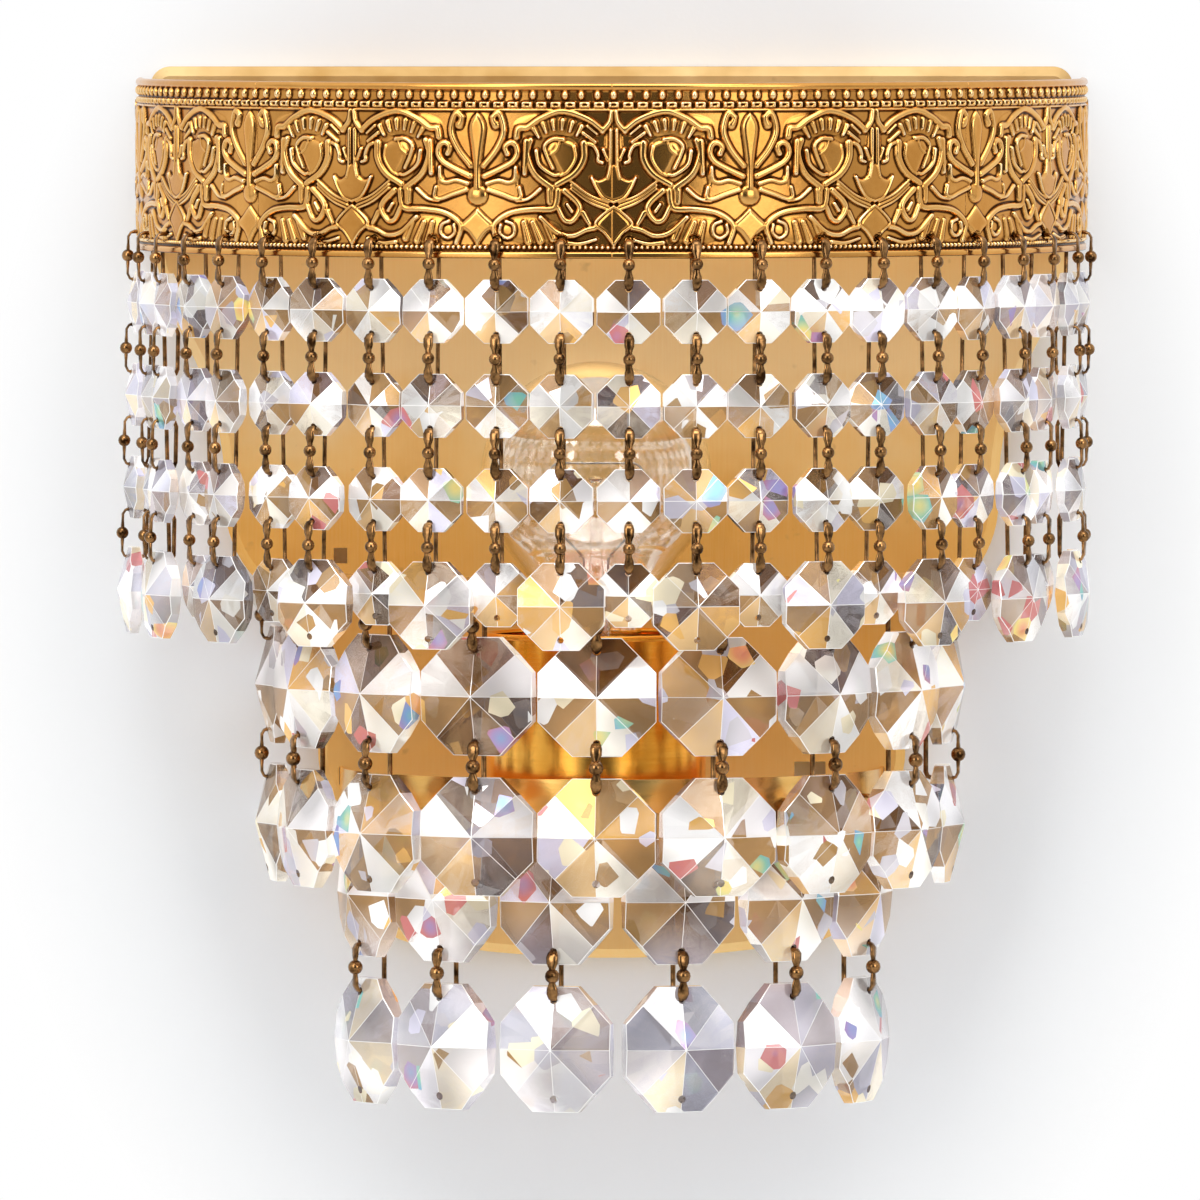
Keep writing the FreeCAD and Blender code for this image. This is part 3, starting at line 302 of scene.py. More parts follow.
def gilt_brass(name, grain_stretch, rough, grain_share, tones, metal=1.0, light_and_shade=None):
    """Gilded brass with clouds, a grain and spots. Levels give painted light and shade from the
    bottom up, and the top face a darker painted shade.
    """
    paint = new_paint(name)
    cloud = paint.noise(22.0, 4.0, rough=0.6)
    grain = paint.noise(60.0, 5.0, grain_stretch, 0.65)
    tone = paint.ramp(cloud, [(0.30, tones[0]), (0.48, tones[1]), (0.70, tones[2])])
    streak = paint.spread(grain, 0.35, 0.68)
    tone = paint.blend(streak * grain_share, tone, rgb(*tones[2]))
    height = paint.node("ShaderNodeSeparateXYZ", {0: paint.place()}, out="Z")
    # Painted light and shade: the tone follows the height through the given levels.
    if light_and_shade:
        level = paint.spread(height + (cloud - 0.5) * 0.05, -0.18, 0.02)
        tone = paint.blend(0.6, tone, paint.ramp(level, light_and_shade, "EASE"))
    # Painted shade: the top face of the bevel turns a darker gold, toning down the light from
    # above.
    top_face_shade = paint.ramp(cloud, [(0.38, (0.52, 0.30, 0.09)), (0.62, (0.80, 0.56, 0.26))])
    tone = paint.blend(paint.spread(height, *TOP_FACE), tone, top_face_shade)
    spots = paint.spread(paint.noise(240.0, 2.0), 0.70, 0.80)
    tone = paint.blend(spots * 0.25, tone, rgb(*SPOT_TONE))
    shine = paint.spread(grain + cloud * 0.5, 0.5, 1.1, rough[1], rough[0])
    return paint.finish(paint.shader(
        Base_Color=tone, Metallic=metal, Roughness=shine,
        Normal=paint.bump(grain, 0.03, 0.35)))


# Painted light and shade from the bottom up: the tray is deepest in painted shade behind the cup
# and palest behind the lamp, a painted pool of light.
TRAY_LIGHT_AND_SHADE = [(0.0, (1.0, 0.68, 0.28)), (0.14, (0.96, 0.56, 0.15)), (0.24, (0.82, 0.40, 0.06)),
               (0.42, (0.86, 0.43, 0.07)), (0.52, (0.99, 0.64, 0.24)), (0.62, (1.0, 0.78, 0.44)),
               (0.78, (0.99, 0.66, 0.27)), (1.0, (0.96, 0.57, 0.18))]
dress("back_tray", gilt_brass("brushed_gilt", (30.0, 30.0, 1.0), (0.34, 0.50), 0.45,
                              ((0.80, 0.40, 0.085), (0.97, 0.56, 0.165), (1.0, 0.71, 0.31)), 0.62,
                              TRAY_LIGHT_AND_SHADE))


# --- gallery --------------------------------------------------------------------------
# A strip of thin brass embossed with tulips, palmettes and scrolled leaves, rolled over a
# wire at the top and bent to a half circle. The hollows of the ornament are darker, partly
# dirt and partly painted shade, and the crests paler, a painted highlight.
BAND_LINE = 121.2           # radius of the strip's middle
BAND_TOP = 20.0
BAND_BOTTOM = -24.0
BAND_OUT = 0.1              # plain surface, from the strip's middle
BAND_IN = -0.4
BAND_PUSH = 1.05            # depth of the embossing
ROLL = 1.0
STRIP_START = -10.0         # where the half circle starts, in front of the wall
REPEAT = 32.6               # degrees from one tulip to the next
TULIP_AT = 0.2
FIRST_STRAND, STRAND_STEP, STRANDS = -84.41, 7.85, 22
STRAND_HOLE_Z = -19.3
HALF_REPEAT = math.radians(REPEAT / 2) * BAND_LINE
FINE = 0.12                 # step of the ornament's drawing

draw_u, draw_z = np.meshgrid(np.arange(0.0, HALF_REPEAT + FINE, FINE),
                             np.arange(BAND_BOTTOM, BAND_TOP, FINE), indexing="ij")
ornament = np.zeros_like(draw_u)


def through(points, steps=7):
    """Points on a smooth curve through the given ones."""
    given = np.array(points, float)
    ends = [2 * given[0] - given[1], *given, 2 * given[-1] - given[-2]]
    line = []
    for a, b, c, d in zip(ends, ends[1:], ends[2:], ends[3:]):
        for t in np.arange(steps) / steps:
            line.append(0.5 * (2 * b + (c - a) * t + (2 * a - 5 * b + 4 * c - d) * t * t
                               + (3 * b - a - 3 * c + d) * t ** 3))
    line.append(given[-1])
    return np.array(line)


def stroke(points, wide, end_wide=None, high=1.0, vein=0.0):
    """Raises a rounded stroke of half width wide along a curve, tapering to end_wide."""
    line = through(points) if len(points) > 1 else np.array([points[0], points[0]], float)
    end_wide = wide if end_wide is None else end_wide
    reach = max(wide, end_wide) + FINE
    for mirror in (lambda u: u, lambda u: -u, lambda u: 2 * HALF_REPEAT - u):
        bent = line.copy()
        bent[:, 0] = mirror(bent[:, 0])
        low, top = bent.min(0) - reach, bent.max(0) + reach
        if low[0] > HALF_REPEAT or top[0] < 0:
            continue
        i0, i1 = (int(max(0, low[0]) / FINE), int(min(HALF_REPEAT, top[0]) / FINE) + 2)
        j0, j1 = (int(max(0, low[1] - BAND_BOTTOM) / FINE),
                  int(max(0, top[1] - BAND_BOTTOM) / FINE) + 2)
        u, z = draw_u[i0:i1, j0:j1], draw_z[i0:i1, j0:j1]
        near = np.full(u.shape, 99.0)
        along = np.zeros(u.shape)
        count = len(bent) - 1
        for n, (a, b) in enumerate(zip(bent, bent[1:])):
            run = b - a
            length = max(float(run @ run), 1e-9)
            t = np.clip(((u - a[0]) * run[0] + (z - a[1]) * run[1]) / length, 0, 1)
            away = np.hypot(u - a[0] - t * run[0], z - a[1] - t * run[1])
            nearer = away < near
            near = np.where(nearer, away, near)
            along = np.where(nearer, (n + t) / count, along)
        half = wide + (end_wide - wide) * along
        height = high * np.sqrt(np.clip(1 - (near / half) ** 2, 0, 1))
        height -= vein * high * np.exp(-(near / 0.22) ** 2) * (height > 0)
        part = ornament[i0:i1, j0:j1]
        np.maximum(part, height, out=part)


def ball(u, z, radius, high=1.0):
    stroke([(u, z)], radius, high=high)


def pillow(u, z, half_wide, half_tall, high):
    """Raises a soft round field about a middle."""
    away = (np.abs(draw_u - u) / half_wide) ** 2.0 + (np.abs(draw_z - z) / half_tall) ** 2.0
    np.maximum(ornament, high * np.clip(1 - away, 0, 1) ** 0.4, out=ornament)


def leaf(points, high, shoulder):
    """Raises the field inside a closed smooth outline, rounded over a shoulder."""
    line = through([*points, points[0]])
    inside = np.zeros(draw_u.shape, bool)
    near = np.full(draw_u.shape, 99.0)
    for a, b in zip(line, line[1:]):
        run = b - a
        t = np.clip(((draw_u - a[0]) * run[0] + (draw_z - a[1]) * run[1])
                    / max(float(run @ run), 1e-9), 0, 1)
        near = np.minimum(near, np.hypot(draw_u - a[0] - t * run[0], draw_z - a[1] - t * run[1]))
        if a[1] != b[1]:
            crossing = (draw_z < a[1]) != (draw_z < b[1])
            inside ^= crossing & (draw_u < a[0] + (draw_z - a[1]) * run[0] / run[1])
    rise = np.clip(near / shoulder, 0, 1)
    np.maximum(ornament, high * np.sqrt(rise * (2 - rise)) * inside, out=ornament)


# soft fields, and filled leaves, petals and shields
pillow(13.0, 0.6, 5.4, 6.0, 0.35)
pillow(34.4, 3.0, 7.0, 10.0, 0.22)
pillow(16.0, 9.3, 9.0, 3.0, 0.30)
pillow(20.5, -17.0, 7.5, 3.2, 0.30)
pillow(0.0, 3.5, 2.2, 8.0, 0.45)
leaf([(12.4, 5.9), (9.5, 4.4), (8.9, 1.4), (10.2, -1.8), (12.7, -3.7), (14.4, -1.6),
      (15.6, 0.8), (17.0, 3.2), (15.4, 5.4)], 0.75, 1.5)
leaf([(0.0, -9.9), (2.7, -8.8), (4.4, -6.2), (5.6, -3.4), (3.8, -4.3), (2.0, -3.2), (1.0, -0.6),
      (-1.0, -0.6), (-2.0, -3.2), (-3.8, -4.3), (-5.6, -3.4), (-4.4, -6.2), (-2.7, -8.8)], 0.8, 0.9)
leaf([(0.0, -10.8), (1.9, -12.6), (4.3, -15.4), (2.4, -17.6), (1.2, -19.2), (0.0, -21.2),
      (-1.2, -19.2), (-2.4, -17.6), (-4.3, -15.4), (-1.9, -12.6)], 0.75, 1.0)
leaf([(34.5, 12.8), (33.0, 11.2), (32.2, 8.6), (32.8, 3.5), (33.4, -2.0), (33.5, -7.0),
      (35.5, -7.0), (35.6, -2.0), (36.2, 3.5), (36.8, 8.6), (36.0, 11.2)], 1.0, 1.3)
leaf([(34.5, -11.2), (32.2, -13.4), (29.8, -15.9), (32.0, -17.8), (33.4, -19.6), (34.5, -21.2),
      (35.6, -19.6), (37.0, -17.8), (39.2, -15.9), (36.8, -13.4)], 0.85, 1.1)
leaf([(32.4, -5.0), (29.0, -4.3), (26.8, -4.7), (25.4, -3.0), (24.4, -0.9), (23.7, -3.0),
      (23.8, -6.0), (22.5, -8.2), (24.4, -9.6), (28.0, -8.6), (31.6, -7.0)], 0.55, 0.7)
# tulip
stroke([(0.55, 12.9), (1.0, 10.2), (2.8, 7.9)], 0.65, 0.9)
stroke([(2.9, 8.2), (6.0, 10.6), (10.4, 12.4), (14.2, 12.7), (18.6, 10.9), (21.7, 8.8),
        (23.9, 8.5), (24.4, 6.4)], 0.85, 1.0, 0.95)
stroke([(0.75, 8.2), (0.8, 3.3), (0.9, -1.0), (1.5, -3.8)], 0.55, 0.6, 1.0)
stroke([(2.6, 3.3), (1.5, 0.6)], 0.55, 0.5, 0.85)
stroke([(5.5, -3.7), (4.3, -6.4), (2.6, -8.8), (0.0, -9.9)], 0.4, 0.45, 1.0)
stroke([(6.2, 4.8), (4.8, 4.0), (3.9, 2.0), (3.9, 0.5), (2.8, 0.0)], 0.6, 0.55, 0.9)
# medallion
stroke([(7.4, 4.8), (7.5, 0.9), (9.8, -2.8), (14.2, -5.5)], 1.1, 0.9, 1.0, 0.15)
stroke([(15.4, -6.4), (19.8, -2.8), (21.7, 2.1), (20.8, 5.6)], 0.95, 0.85, 1.0, 0.15)
stroke([(12.6, 5.8), (15.2, 5.9), (17.2, 4.3), (16.7, 1.8), (15.2, -1.4)], 0.7, 0.6, 1.0)
stroke([(13.4, 5.6), (14.2, 3.3), (15.8, 2.1)], 0.5, 0.4, 0.95)
stroke([(19.4, 2.9), (18.5, -0.6), (15.3, -3.0), (13.7, -3.0)], 0.7, 0.5, 0.9)
stroke([(9.8, 4.2), (9.5, 1.0), (11.4, -2.2), (13.2, -3.2)], 0.55, 0.5, 0.85)
stroke([(21.9, 5.3), (22.3, -2.7)], 0.95, 0.8, 1.0)
# comb of short strokes over the medallion
for place in ((8.6, 7.9), (10.6, 8.9), (12.8, 9.4), (15.1, 9.3), (17.3, 8.6), (19.4, 7.4)):
    lean = (place[0] - 13.7) * 0.12
    stroke([(place[0] - lean, place[1] - 1.1), (place[0] + lean, place[1] + 1.2)], 0.45, 0.8, 0.9)
stroke([(4.6, 5.2), (7.6, 7.4)], 0.55, 0.6, 0.8)
stroke([(4.2, 7.2), (6.6, 9.2)], 0.4, 0.45, 0.7)
# stems, bud and long wave
for shift in (-0.9, 0.0, 0.9):
    stroke([(10.7, -5.6 + shift), (6.0, -9.0 + shift), (1.3, -10.9 + shift)], 0.4, 0.4, 0.8)
stroke([(15.9, -7.0), (15.9, -9.9)], 1.2, 1.0, 1.0, 0.15)
stroke([(13.9, -7.0), (14.2, -9.8), (15.4, -11.6), (20.5, -11.7), (25.8, -12.5), (29.3, -14.6),
        (30.2, -16.7), (29.0, -20.1)], 0.95, 0.75, 1.0, 0.15)
stroke([(12.3, -7.0), (9.2, -9.8), (8.5, -11.9), (10.4, -14.6), (12.3, -14.3), (13.9, -11.3)],
       0.95, 0.75, 0.95)
stroke([(10.4, -12.2), (11.6, -10.4)], 0.6, 0.5, 0.8)
stroke([(18.4, -6.6), (21.4, -9.0), (24.4, -9.6)], 0.65, 0.5, 0.85)
# lower vine and leaves
stroke([(4.8, -16.4), (7.0, -16.9), (10.4, -18.3), (14.2, -17.4), (18.3, -13.7)], 0.8, 0.75, 0.95)
for low, top in (((15.2, -19.0), (17.4, -14.6)), ((18.4, -19.6), (20.3, -15.0)),
                 ((21.4, -19.8), (22.6, -15.0))):
    stroke([low, top], 1.1, 0.75, 0.85, 0.25)
stroke([(27.0, -14.7), (25.2, -15.6), (25.0, -17.8), (26.8, -18.9), (28.6, -17.6), (28.4, -15.6)],
       0.6, 0.55, 0.95)
stroke([(7.6, -12.6), (6.0, -15.4)], 0.85, 0.6, 0.9, 0.15)
stroke([(12.4, -20.0), (8.6, -20.3), (4.4, -19.2)], 0.7, 0.5, 0.8)
# pointed shield under the tulip
stroke([(0.0, -10.9), (3.0, -13.2), (4.6, -15.4), (2.4, -17.4), (1.2, -18.9), (0.0, -20.6)],
       0.45, 0.45, 0.9)
# palmette, half way between tulips
ball(34.4, -8.2, 2.6)
stroke([(32.8, -0.8), (29.6, 3.2), (27.7, 7.4), (28.2, 11.0), (29.2, 12.4), (30.5, 11.4)],
       0.95, 0.9, 1.0)
stroke([(30.5, 11.4), (30.2, 10.2), (29.7, 9.4)], 0.8, 1.25, 1.0)
stroke([(32.6, -3.4), (28.5, -1.5), (25.5, 0.2), (24.2, 2.2), (24.6, 4.3), (26.0, 5.0),
        (27.3, 3.9), (26.7, 2.2)], 0.95, 0.85, 1.0)
stroke([(32.0, -5.2), (29.0, -4.4), (26.6, -4.9), (24.9, -4.2), (24.6, -1.2)], 0.7, 0.6, 0.95)
stroke([(31.6, -6.8), (28.0, -8.0), (25.0, -9.1), (23.3, -8.6), (23.6, -6.2)], 0.75, 0.6, 0.95)
# plain edges, and rows of petals, rings and dots between them
PETAL_Z, RING_Z, DOT_Z = 16.9, 14.5, -21.2


def from_nearest(count):
    """Distance along the strip from the nearest of count marks in half a repeat."""
    pitch = HALF_REPEAT / count
    return np.abs((draw_u / pitch + 0.5) % 1.0 - 0.5) * pitch


from_petal = np.hypot(from_nearest(8.5) / 0.95, (draw_z - PETAL_Z) / 1.25)
np.maximum(ornament, np.clip(1 - from_petal ** 2, 0, 1) ** 0.5, out=ornament)
from_ring = np.maximum(from_nearest(9.5) / 1.25, np.abs(draw_z - RING_Z) / 0.65)
np.maximum(ornament, 0.8 * np.clip(1 - (np.abs(from_ring - 0.75) / 0.42) ** 2, 0, 1) ** 0.5,
           out=ornament)
from_dot = np.hypot(from_nearest(24.5), draw_z - DOT_Z)
np.maximum(ornament, 0.8 * np.clip(1 - (from_dot / 0.55) ** 2, 0, 1) ** 0.5, out=ornament)
for low, top, high in ((18.0, 20.0, 0.25), (12.95, 13.5, 0.6), (-24.0, -22.4, 0.55)):
    edge = np.clip(np.minimum(draw_z - low, top - draw_z) / 0.25 + 0.5, 0, 1)
    np.maximum(ornament, high * edge, out=ornament)


def softened(field, reach):
    """The field averaged over a square of half width reach, in mm."""
    steps = max(1, int(reach / FINE))
    for axis in (0, 1):
        wide = np.pad(field, [(steps + 1, steps) if a == axis else (0, 0) for a in (0, 1)],
                      mode="reflect")
        sums = np.cumsum(wide, axis)
        size = field.shape[axis]
        ahead = np.take(sums, range(2 * steps + 1, 2 * steps + 1 + size), axis)
        field = (ahead - np.take(sums, range(size), axis)) / (2 * steps + 1)
    return field


# Dirt and painted shade darken the feet of the strokes, and a painted highlight brightens their
# crests.
dirt_and_shade = np.clip(5.0 * (softened(ornament, 0.62) - ornament) - 0.15, 0, 1)
crest_highlight = np.clip(1.8 * (ornament - softened(softened(ornament, 0.6), 0.6)), 0, 1)
dirt_shade_and_highlight = 0.46 - 0.46 * dirt_and_shade + 0.54 * crest_highlight
ornament = softened(ornament, 0.13)


def embossing(field, along, z):
    """A field of the ornament at arc lengths along the strip and heights z."""
    cell = (along / BAND_LINE - math.radians(TULIP_AT)) / math.radians(REPEAT)
    u = np.abs((cell + 0.5) % 1.0 - 0.5) * 2 * HALF_REPEAT
    i = np.clip(u / FINE, 0, field.shape[0] - 2)
    j = np.clip((z - BAND_BOTTOM) / FINE, 0, field.shape[1] - 2)
    i0, j0 = i.astype(int), j.astype(int)
    fi, fj = i - i0, j - j0
    return ((1 - fi) * (1 - fj) * field[i0, j0] + fi * (1 - fj) * field[i0 + 1, j0]
            + (1 - fi) * fj * field[i0, j0 + 1] + fi * fj * field[i0 + 1, j0 + 1])


def strip_place(along, offset):
    """x and y of the strip at an arc length and an offset outwards from its middle."""
    half = BAND_LINE * math.pi / 2
    turn = np.clip(along, -half, half) / BAND_LINE
    radius = BAND_LINE + offset
    past = np.clip(np.abs(along) - half, 0, None)
    return radius * np.sin(turn), STRIP_START - radius * np.cos(turn) + past


def closed_strip(name, loops, material, values):
    """A closed mesh from (columns, points, 3) loops, capped at both ends, with its dirt, painted
    shade and painted highlight.
    """
    columns, points = loops.shape[:2]
    column = np.arange(columns - 1)[:, None] * points
    here = np.arange(points)[None, :]
    after = (here + 1) % points
    faces = np.stack([column + here, column + after, column + points + after,
                      column + points + here], -1).reshape(-1, 4)
    mesh = bpy.data.meshes.new(name)
    caps = [list(range(points))[::-1], list(range((columns - 1) * points, columns * points))]
    mesh.from_pydata((loops.reshape(-1, 3) * MM).tolist(), [], faces.tolist() + caps)
    mesh.polygons.foreach_set("use_smooth", [True] * len(mesh.polygons))
    mesh.attributes.new("relief_dirt_and_shading", "FLOAT", "POINT").data.foreach_set(
        "value", values.reshape(-1).astype(np.float32))
    mesh.materials.append(material)
    made = bpy.data.objects.new(name, mesh)
    bpy.context.collection.objects.link(made)
    return made


def outward_check(made):
    """Turns a closed mesh's faces outwards if its volume comes out negative."""
    shape = bmesh.new()
    shape.from_mesh(made.data)
    if shape.calc_volume(signed=True) < 0:
        bmesh.ops.reverse_faces(shape, faces=shape.faces)
        shape.to_mesh(made.data)
    shape.free()
    return made


def embossed_gilt():
    paint = new_paint("embossed_gilt")
    relief_dirt_and_shading = paint.attribute("relief_dirt_and_shading")
    cloud = paint.noise(30.0, 4.0, rough=0.6)
    fine = paint.noise(700.0, 3.0)
    height = relief_dirt_and_shading + (cloud - 0.5) * 0.30 + (fine - 0.5) * 0.06
    # Painted shade and highlight: near black in the hollows, partly dirt and partly painted shade,
    # up to near white on the crests, a painted highlight.
    tone = paint.ramp(height, [(0.08, (0.030, 0.010, 0.002)), (0.28, (0.17, 0.062, 0.012)),
                               (0.42, (0.56, 0.25, 0.052)), (0.54, (0.73, 0.37, 0.098)),
                               (0.68, (0.84, 0.49, 0.165)), (0.82, (0.95, 0.68, 0.36)),
                               (0.98, (1.0, 0.86, 0.62))])
    rough = paint.spread(height, 0.1, 0.7, 0.30, 0.12)
    return paint.finish(paint.shader(
        Base_Color=tone, Metallic=1.0, Roughness=rough,
        Normal=paint.bump(fine, 0.03, 0.35)))


STEP = 0.22                 # spacing of the mesh's points
EYELET, EYELET_EDGE = 1.0, 1.5
RIVET_ALONG, RIVET_HEIGHTS, RIVET_FLAT = 6.2, (12.0, -8.0), 3.0
ROLL_TONE, BACK_TONE = 0.50, 0.45
half_length = BAND_LINE * math.pi / 2 - STRIP_START
columns = int(2 * half_length / STEP / 4) * 4 + 1
along = np.linspace(-half_length, half_length, columns)
face_z = np.arange(BAND_BOTTOM + 0.02, BAND_TOP - 2 * ROLL + 0.2, STEP)
push = embossing(ornament, along[:, None], face_z[None, :])
tone = embossing(dirt_shade_and_highlight, along[:, None], face_z[None, :])
for i in range(STRANDS):
    hole = math.radians(FIRST_STRAND + STRAND_STEP * i) * BAND_LINE
    away = np.hypot(along[:, None] - hole, face_z[None, :] - STRAND_HOLE_Z)
    push = np.where(away < EYELET, -0.55,
                    np.where(away < EYELET_EDGE, np.minimum(push, 0.1), push))
    # Painted shade: each eyelet is only a dent, painted near black like an open hole.
    tone = np.where(away < EYELET + 0.1, 0.0, tone)
for side in (-1, 1):
    for rivet_z in RIVET_HEIGHTS:
        rivet_along = side * (BAND_LINE * math.pi / 2 + RIVET_ALONG)
        away = np.hypot(along[:, None] - rivet_along, face_z[None, :] - rivet_z)
        push = push * np.clip((away - RIVET_FLAT) / 0.8, 0, 1)
roll_turn = np.radians(np.linspace(-62.0, 242.0, 15))
roll_off, roll_z = ROLL * np.cos(roll_turn), BAND_TOP - ROLL + ROLL * np.sin(roll_turn)
wall_z = np.array([12.0, 0.0, -12.0, BAND_BOTTOM + 0.02])
offsets = np.concatenate([BAND_OUT + BAND_PUSH * push,
                          np.broadcast_to(roll_off, (columns, len(roll_off))),
                          np.full((columns, len(wall_z)), BAND_IN)], 1)
heights = np.concatenate([face_z, roll_z, wall_z])
band_x, band_y = strip_place(along[:, None], offsets)
loops = np.stack([band_x, band_y, np.broadcast_to(heights, band_x.shape)], -1)
tones = np.concatenate([tone, np.full((columns, len(roll_off)), ROLL_TONE),
                        np.full((columns, len(wall_z)), BACK_TONE)], 1)
quarter = (columns - 1) // 4
gallery_gilt = embossed_gilt()
for i, name in enumerate(("gallery_left", "gallery_front_left", "gallery_front_right",
                          "gallery_right")):
    part = slice(i * quarter, (i + 1) * quarter + 1)
    piece = outward_check(closed_strip(name, loops[part], gallery_gilt, tones[part]))
    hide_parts("gallery_band")
    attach(piece, "root")


# --- rings and rivets -----------------------------------------------------------------
# Two plain strips of the same brass, bent to half circles. Small brass rivets hold the
# gallery's ends to the tray and the lamp's bracket under the cup.
def antique_brass(name, dark, bright):
    paint = new_paint(name)
    cloud = paint.noise(380.0, 4.0, rough=0.6)
    tone = paint.ramp(cloud, [(0.34, dark), (0.50, [0.5 * (a + b) for a, b in zip(dark, bright)]),
                              (0.66, bright)])
    rough = paint.spread(cloud, 0.3, 0.7, 0.26, 0.11)
    return paint.finish(paint.shader(
        Base_Color=tone, Metallic=1.0, Roughness=rough,
        Normal=paint.bump(paint.noise(1600.0, 3.0), 0.02, 0.3)))


strip_gilt = gilt_brass("strip_gilt", (1.0, 1.0, 14.0), (0.14, 0.26), 0.3,
                        ((0.72, 0.34, 0.06), (0.92, 0.52, 0.13), (0.99, 0.71, 0.30)))
worn_brass = antique_brass("worn_brass", (0.22, 0.10, 0.03), (0.60, 0.36, 0.13))
dress("middle_ring", strip_gilt)
dress("lower_ring", strip_gilt)
dress("rivets", worn_brass)
dress("earth_screw", worn_brass)


# --- lamp cup, bracket and holder -----------------------------------------------------
# A turned brass cup stands on an angle bracket. Inside it a nipple and two nuts hold a
# ceramic lamp holder with a brass sleeve and a rolled thread.
cup_gilt = gilt_brass("turned_gilt", (1.0, 1.0, 40.0), (0.12, 0.22), 0.35,
                      ((0.60, 0.21, 0.012), (0.90, 0.37, 0.03), (0.99, 0.58, 0.13)))
for node in ("lamp_cup", "lamp_bracket", "holder_shell"):
    dress(node, cup_gilt)
for node in ("holder_nipple", "nipple_nuts", "terminal_screws"):
    dress(node, zinc)
contact = antique_brass("rolled_contact", (0.46, 0.35, 0.16), (0.80, 0.68, 0.40))
for node in ("holder_contacts", "bulb_cap"):
    dress(node, contact)


def glazed_ceramic():
    paint = new_paint("glazed_ceramic")
    speck = paint.spread(paint.noise(900.0, 2.0), 0.68, 0.74)
    tone = paint.blend(speck * 0.4, rgb(0.88, 0.86, 0.80), rgb(0.55, 0.50, 0.42))
    return paint.finish(paint.shader(
        Base_Color=tone, Roughness=paint.spread(paint.noise(90.0), 0.3, 0.7, 0.12, 0.28),
        Normal=paint.bump(paint.noise(260.0, 2.0), 0.05, 0.3)))


dress("holder_core", glazed_ceramic())


# --- wiring ---------------------------------------------------------------------------
# Two cores in heat-proof woven sleeves run from a moulded block inside the tray, through a
# bush and up the nipple.
BLOCK_TONE = (0.84, 0.82, 0.76)


def moulded_plastic():
    paint = new_paint("moulded_block")
    cloud = paint.noise(120.0, 3.0)
    tone = paint.blend(cloud, rgb(*BLOCK_TONE), rgb(*[c * 0.9 for c in BLOCK_TONE]))
    return paint.finish(paint.shader(
        Base_Color=tone, Roughness=paint.spread(cloud, 0.3, 0.7, 0.36, 0.52),
        Normal=paint.bump(paint.noise(1500.0, 2.0), 0.02, 0.4)))


def woven_sleeve():
    paint = new_paint("woven_sleeve")
    first = paint.node("ShaderNodeTexWave", {"Vector": paint.place((1.0, 1.0, 1.0)),
                                             "Scale": 900.0}, bands_direction="DIAGONAL")
    second = paint.node("ShaderNodeTexWave", {"Vector": paint.place((-1.0, 1.0, 1.0)),
                                              "Scale": 900.0}, bands_direction="DIAGONAL")
    weave = first.also("Fac").most(second.also("Fac"))
    tone = paint.ramp(weave, [(0.2, (0.60, 0.53, 0.40)), (0.8, (0.84, 0.78, 0.64))])
    return paint.finish(paint.shader(
        Base_Color=tone, Roughness=0.85, Normal=paint.bump(weave, 0.06, 0.6)))


block_plastic = moulded_plastic()
dress("terminal_block", block_plastic)
dress("wire_bush", block_plastic)
dress("lamp_wires", woven_sleeve())


# --- lamp -----------------------------------------------------------------------------
# A clear blown globe is cemented to a screw cap. Inside, a glass stem carries two lead
# wires and the filament.
def blown_glass():
    """Clear glass that mirrors the room more towards its edge."""
    paint = new_paint("blown_glass")
    tone = paint.blend(paint.noise(40.0, 2.0), rgb(0.97, 0.98, 0.98), rgb(1.0, 1.0, 1.0))
    glass = paint.shader(Base_Color=tone, Roughness=0.0, IOR=1.45, Transmission_Weight=1.0)
    gleam = paint.shader(Base_Color=rgb(1.0, 0.99, 0.97), Metallic=1.0, Roughness=0.06)
    edge = paint.node("ShaderNodeLayerWeight", {"Blend": 0.42}, out="Facing")
    clear = paint.node("ShaderNodeBsdfTransparent", {"Color": rgb(0.96, 0.97, 0.97)})
    return paint.finish(paint.either(paint.light_path("Is Shadow Ray"),
                                     paint.either(edge * 0.55 + 0.05, glass, gleam), clear))


def drawn_wire():
    paint = new_paint("drawn_wire")
    tone = paint.ramp(paint.noise(500.0), [(0.3, (0.30, 0.29, 0.28)), (0.7, (0.52, 0.50, 0.48))])
    return paint.finish(paint.shader(Base_Color=tone, Metallic=1.0, Roughness=0.35))


globe_glass = blown_glass()
dress("bulb_glass", globe_glass)
dress("bulb_stem", globe_glass)
dress("bulb_filament", drawn_wire())


# --- crystals and links ---------------------------------------------------------------
# Octagons of clear crystal, cut with eight facets to a point on each side, drilled top and
# bottom and hung on flattened brass links with a ball in front. Each strand swings by itself.
LINK_PITCH = 12.3
MIDDLE_LINE, MIDDLE_Z, FIRST_MIDDLE, MIDDLE_STEP, MIDDLES = 86.0, -111.5, -84.9, 20.6, 9
LOWER_LINE, LOWER_Z, FIRST_LOWER, LOWER_STEP, LOWERS = 69.5, -163.1, -62.8, 25.6, 6
LEAN = 1.2                  # degrees that neighbours in the upper tier push each other aside


def chord(radius, degrees):
    return 2 * radius * math.sin(math.radians(degrees / 2))


SMALL_WIDE = chord(BAND_LINE, STRAND_STEP) - 0.59
MEDIUM_WIDE = SMALL_WIDE * 1.375
LARGE_WIDE = chord(MIDDLE_LINE, MIDDLE_STEP) - 0.75
TALL_WIDE = chord(LOWER_LINE, LOWER_STEP) - 1.8
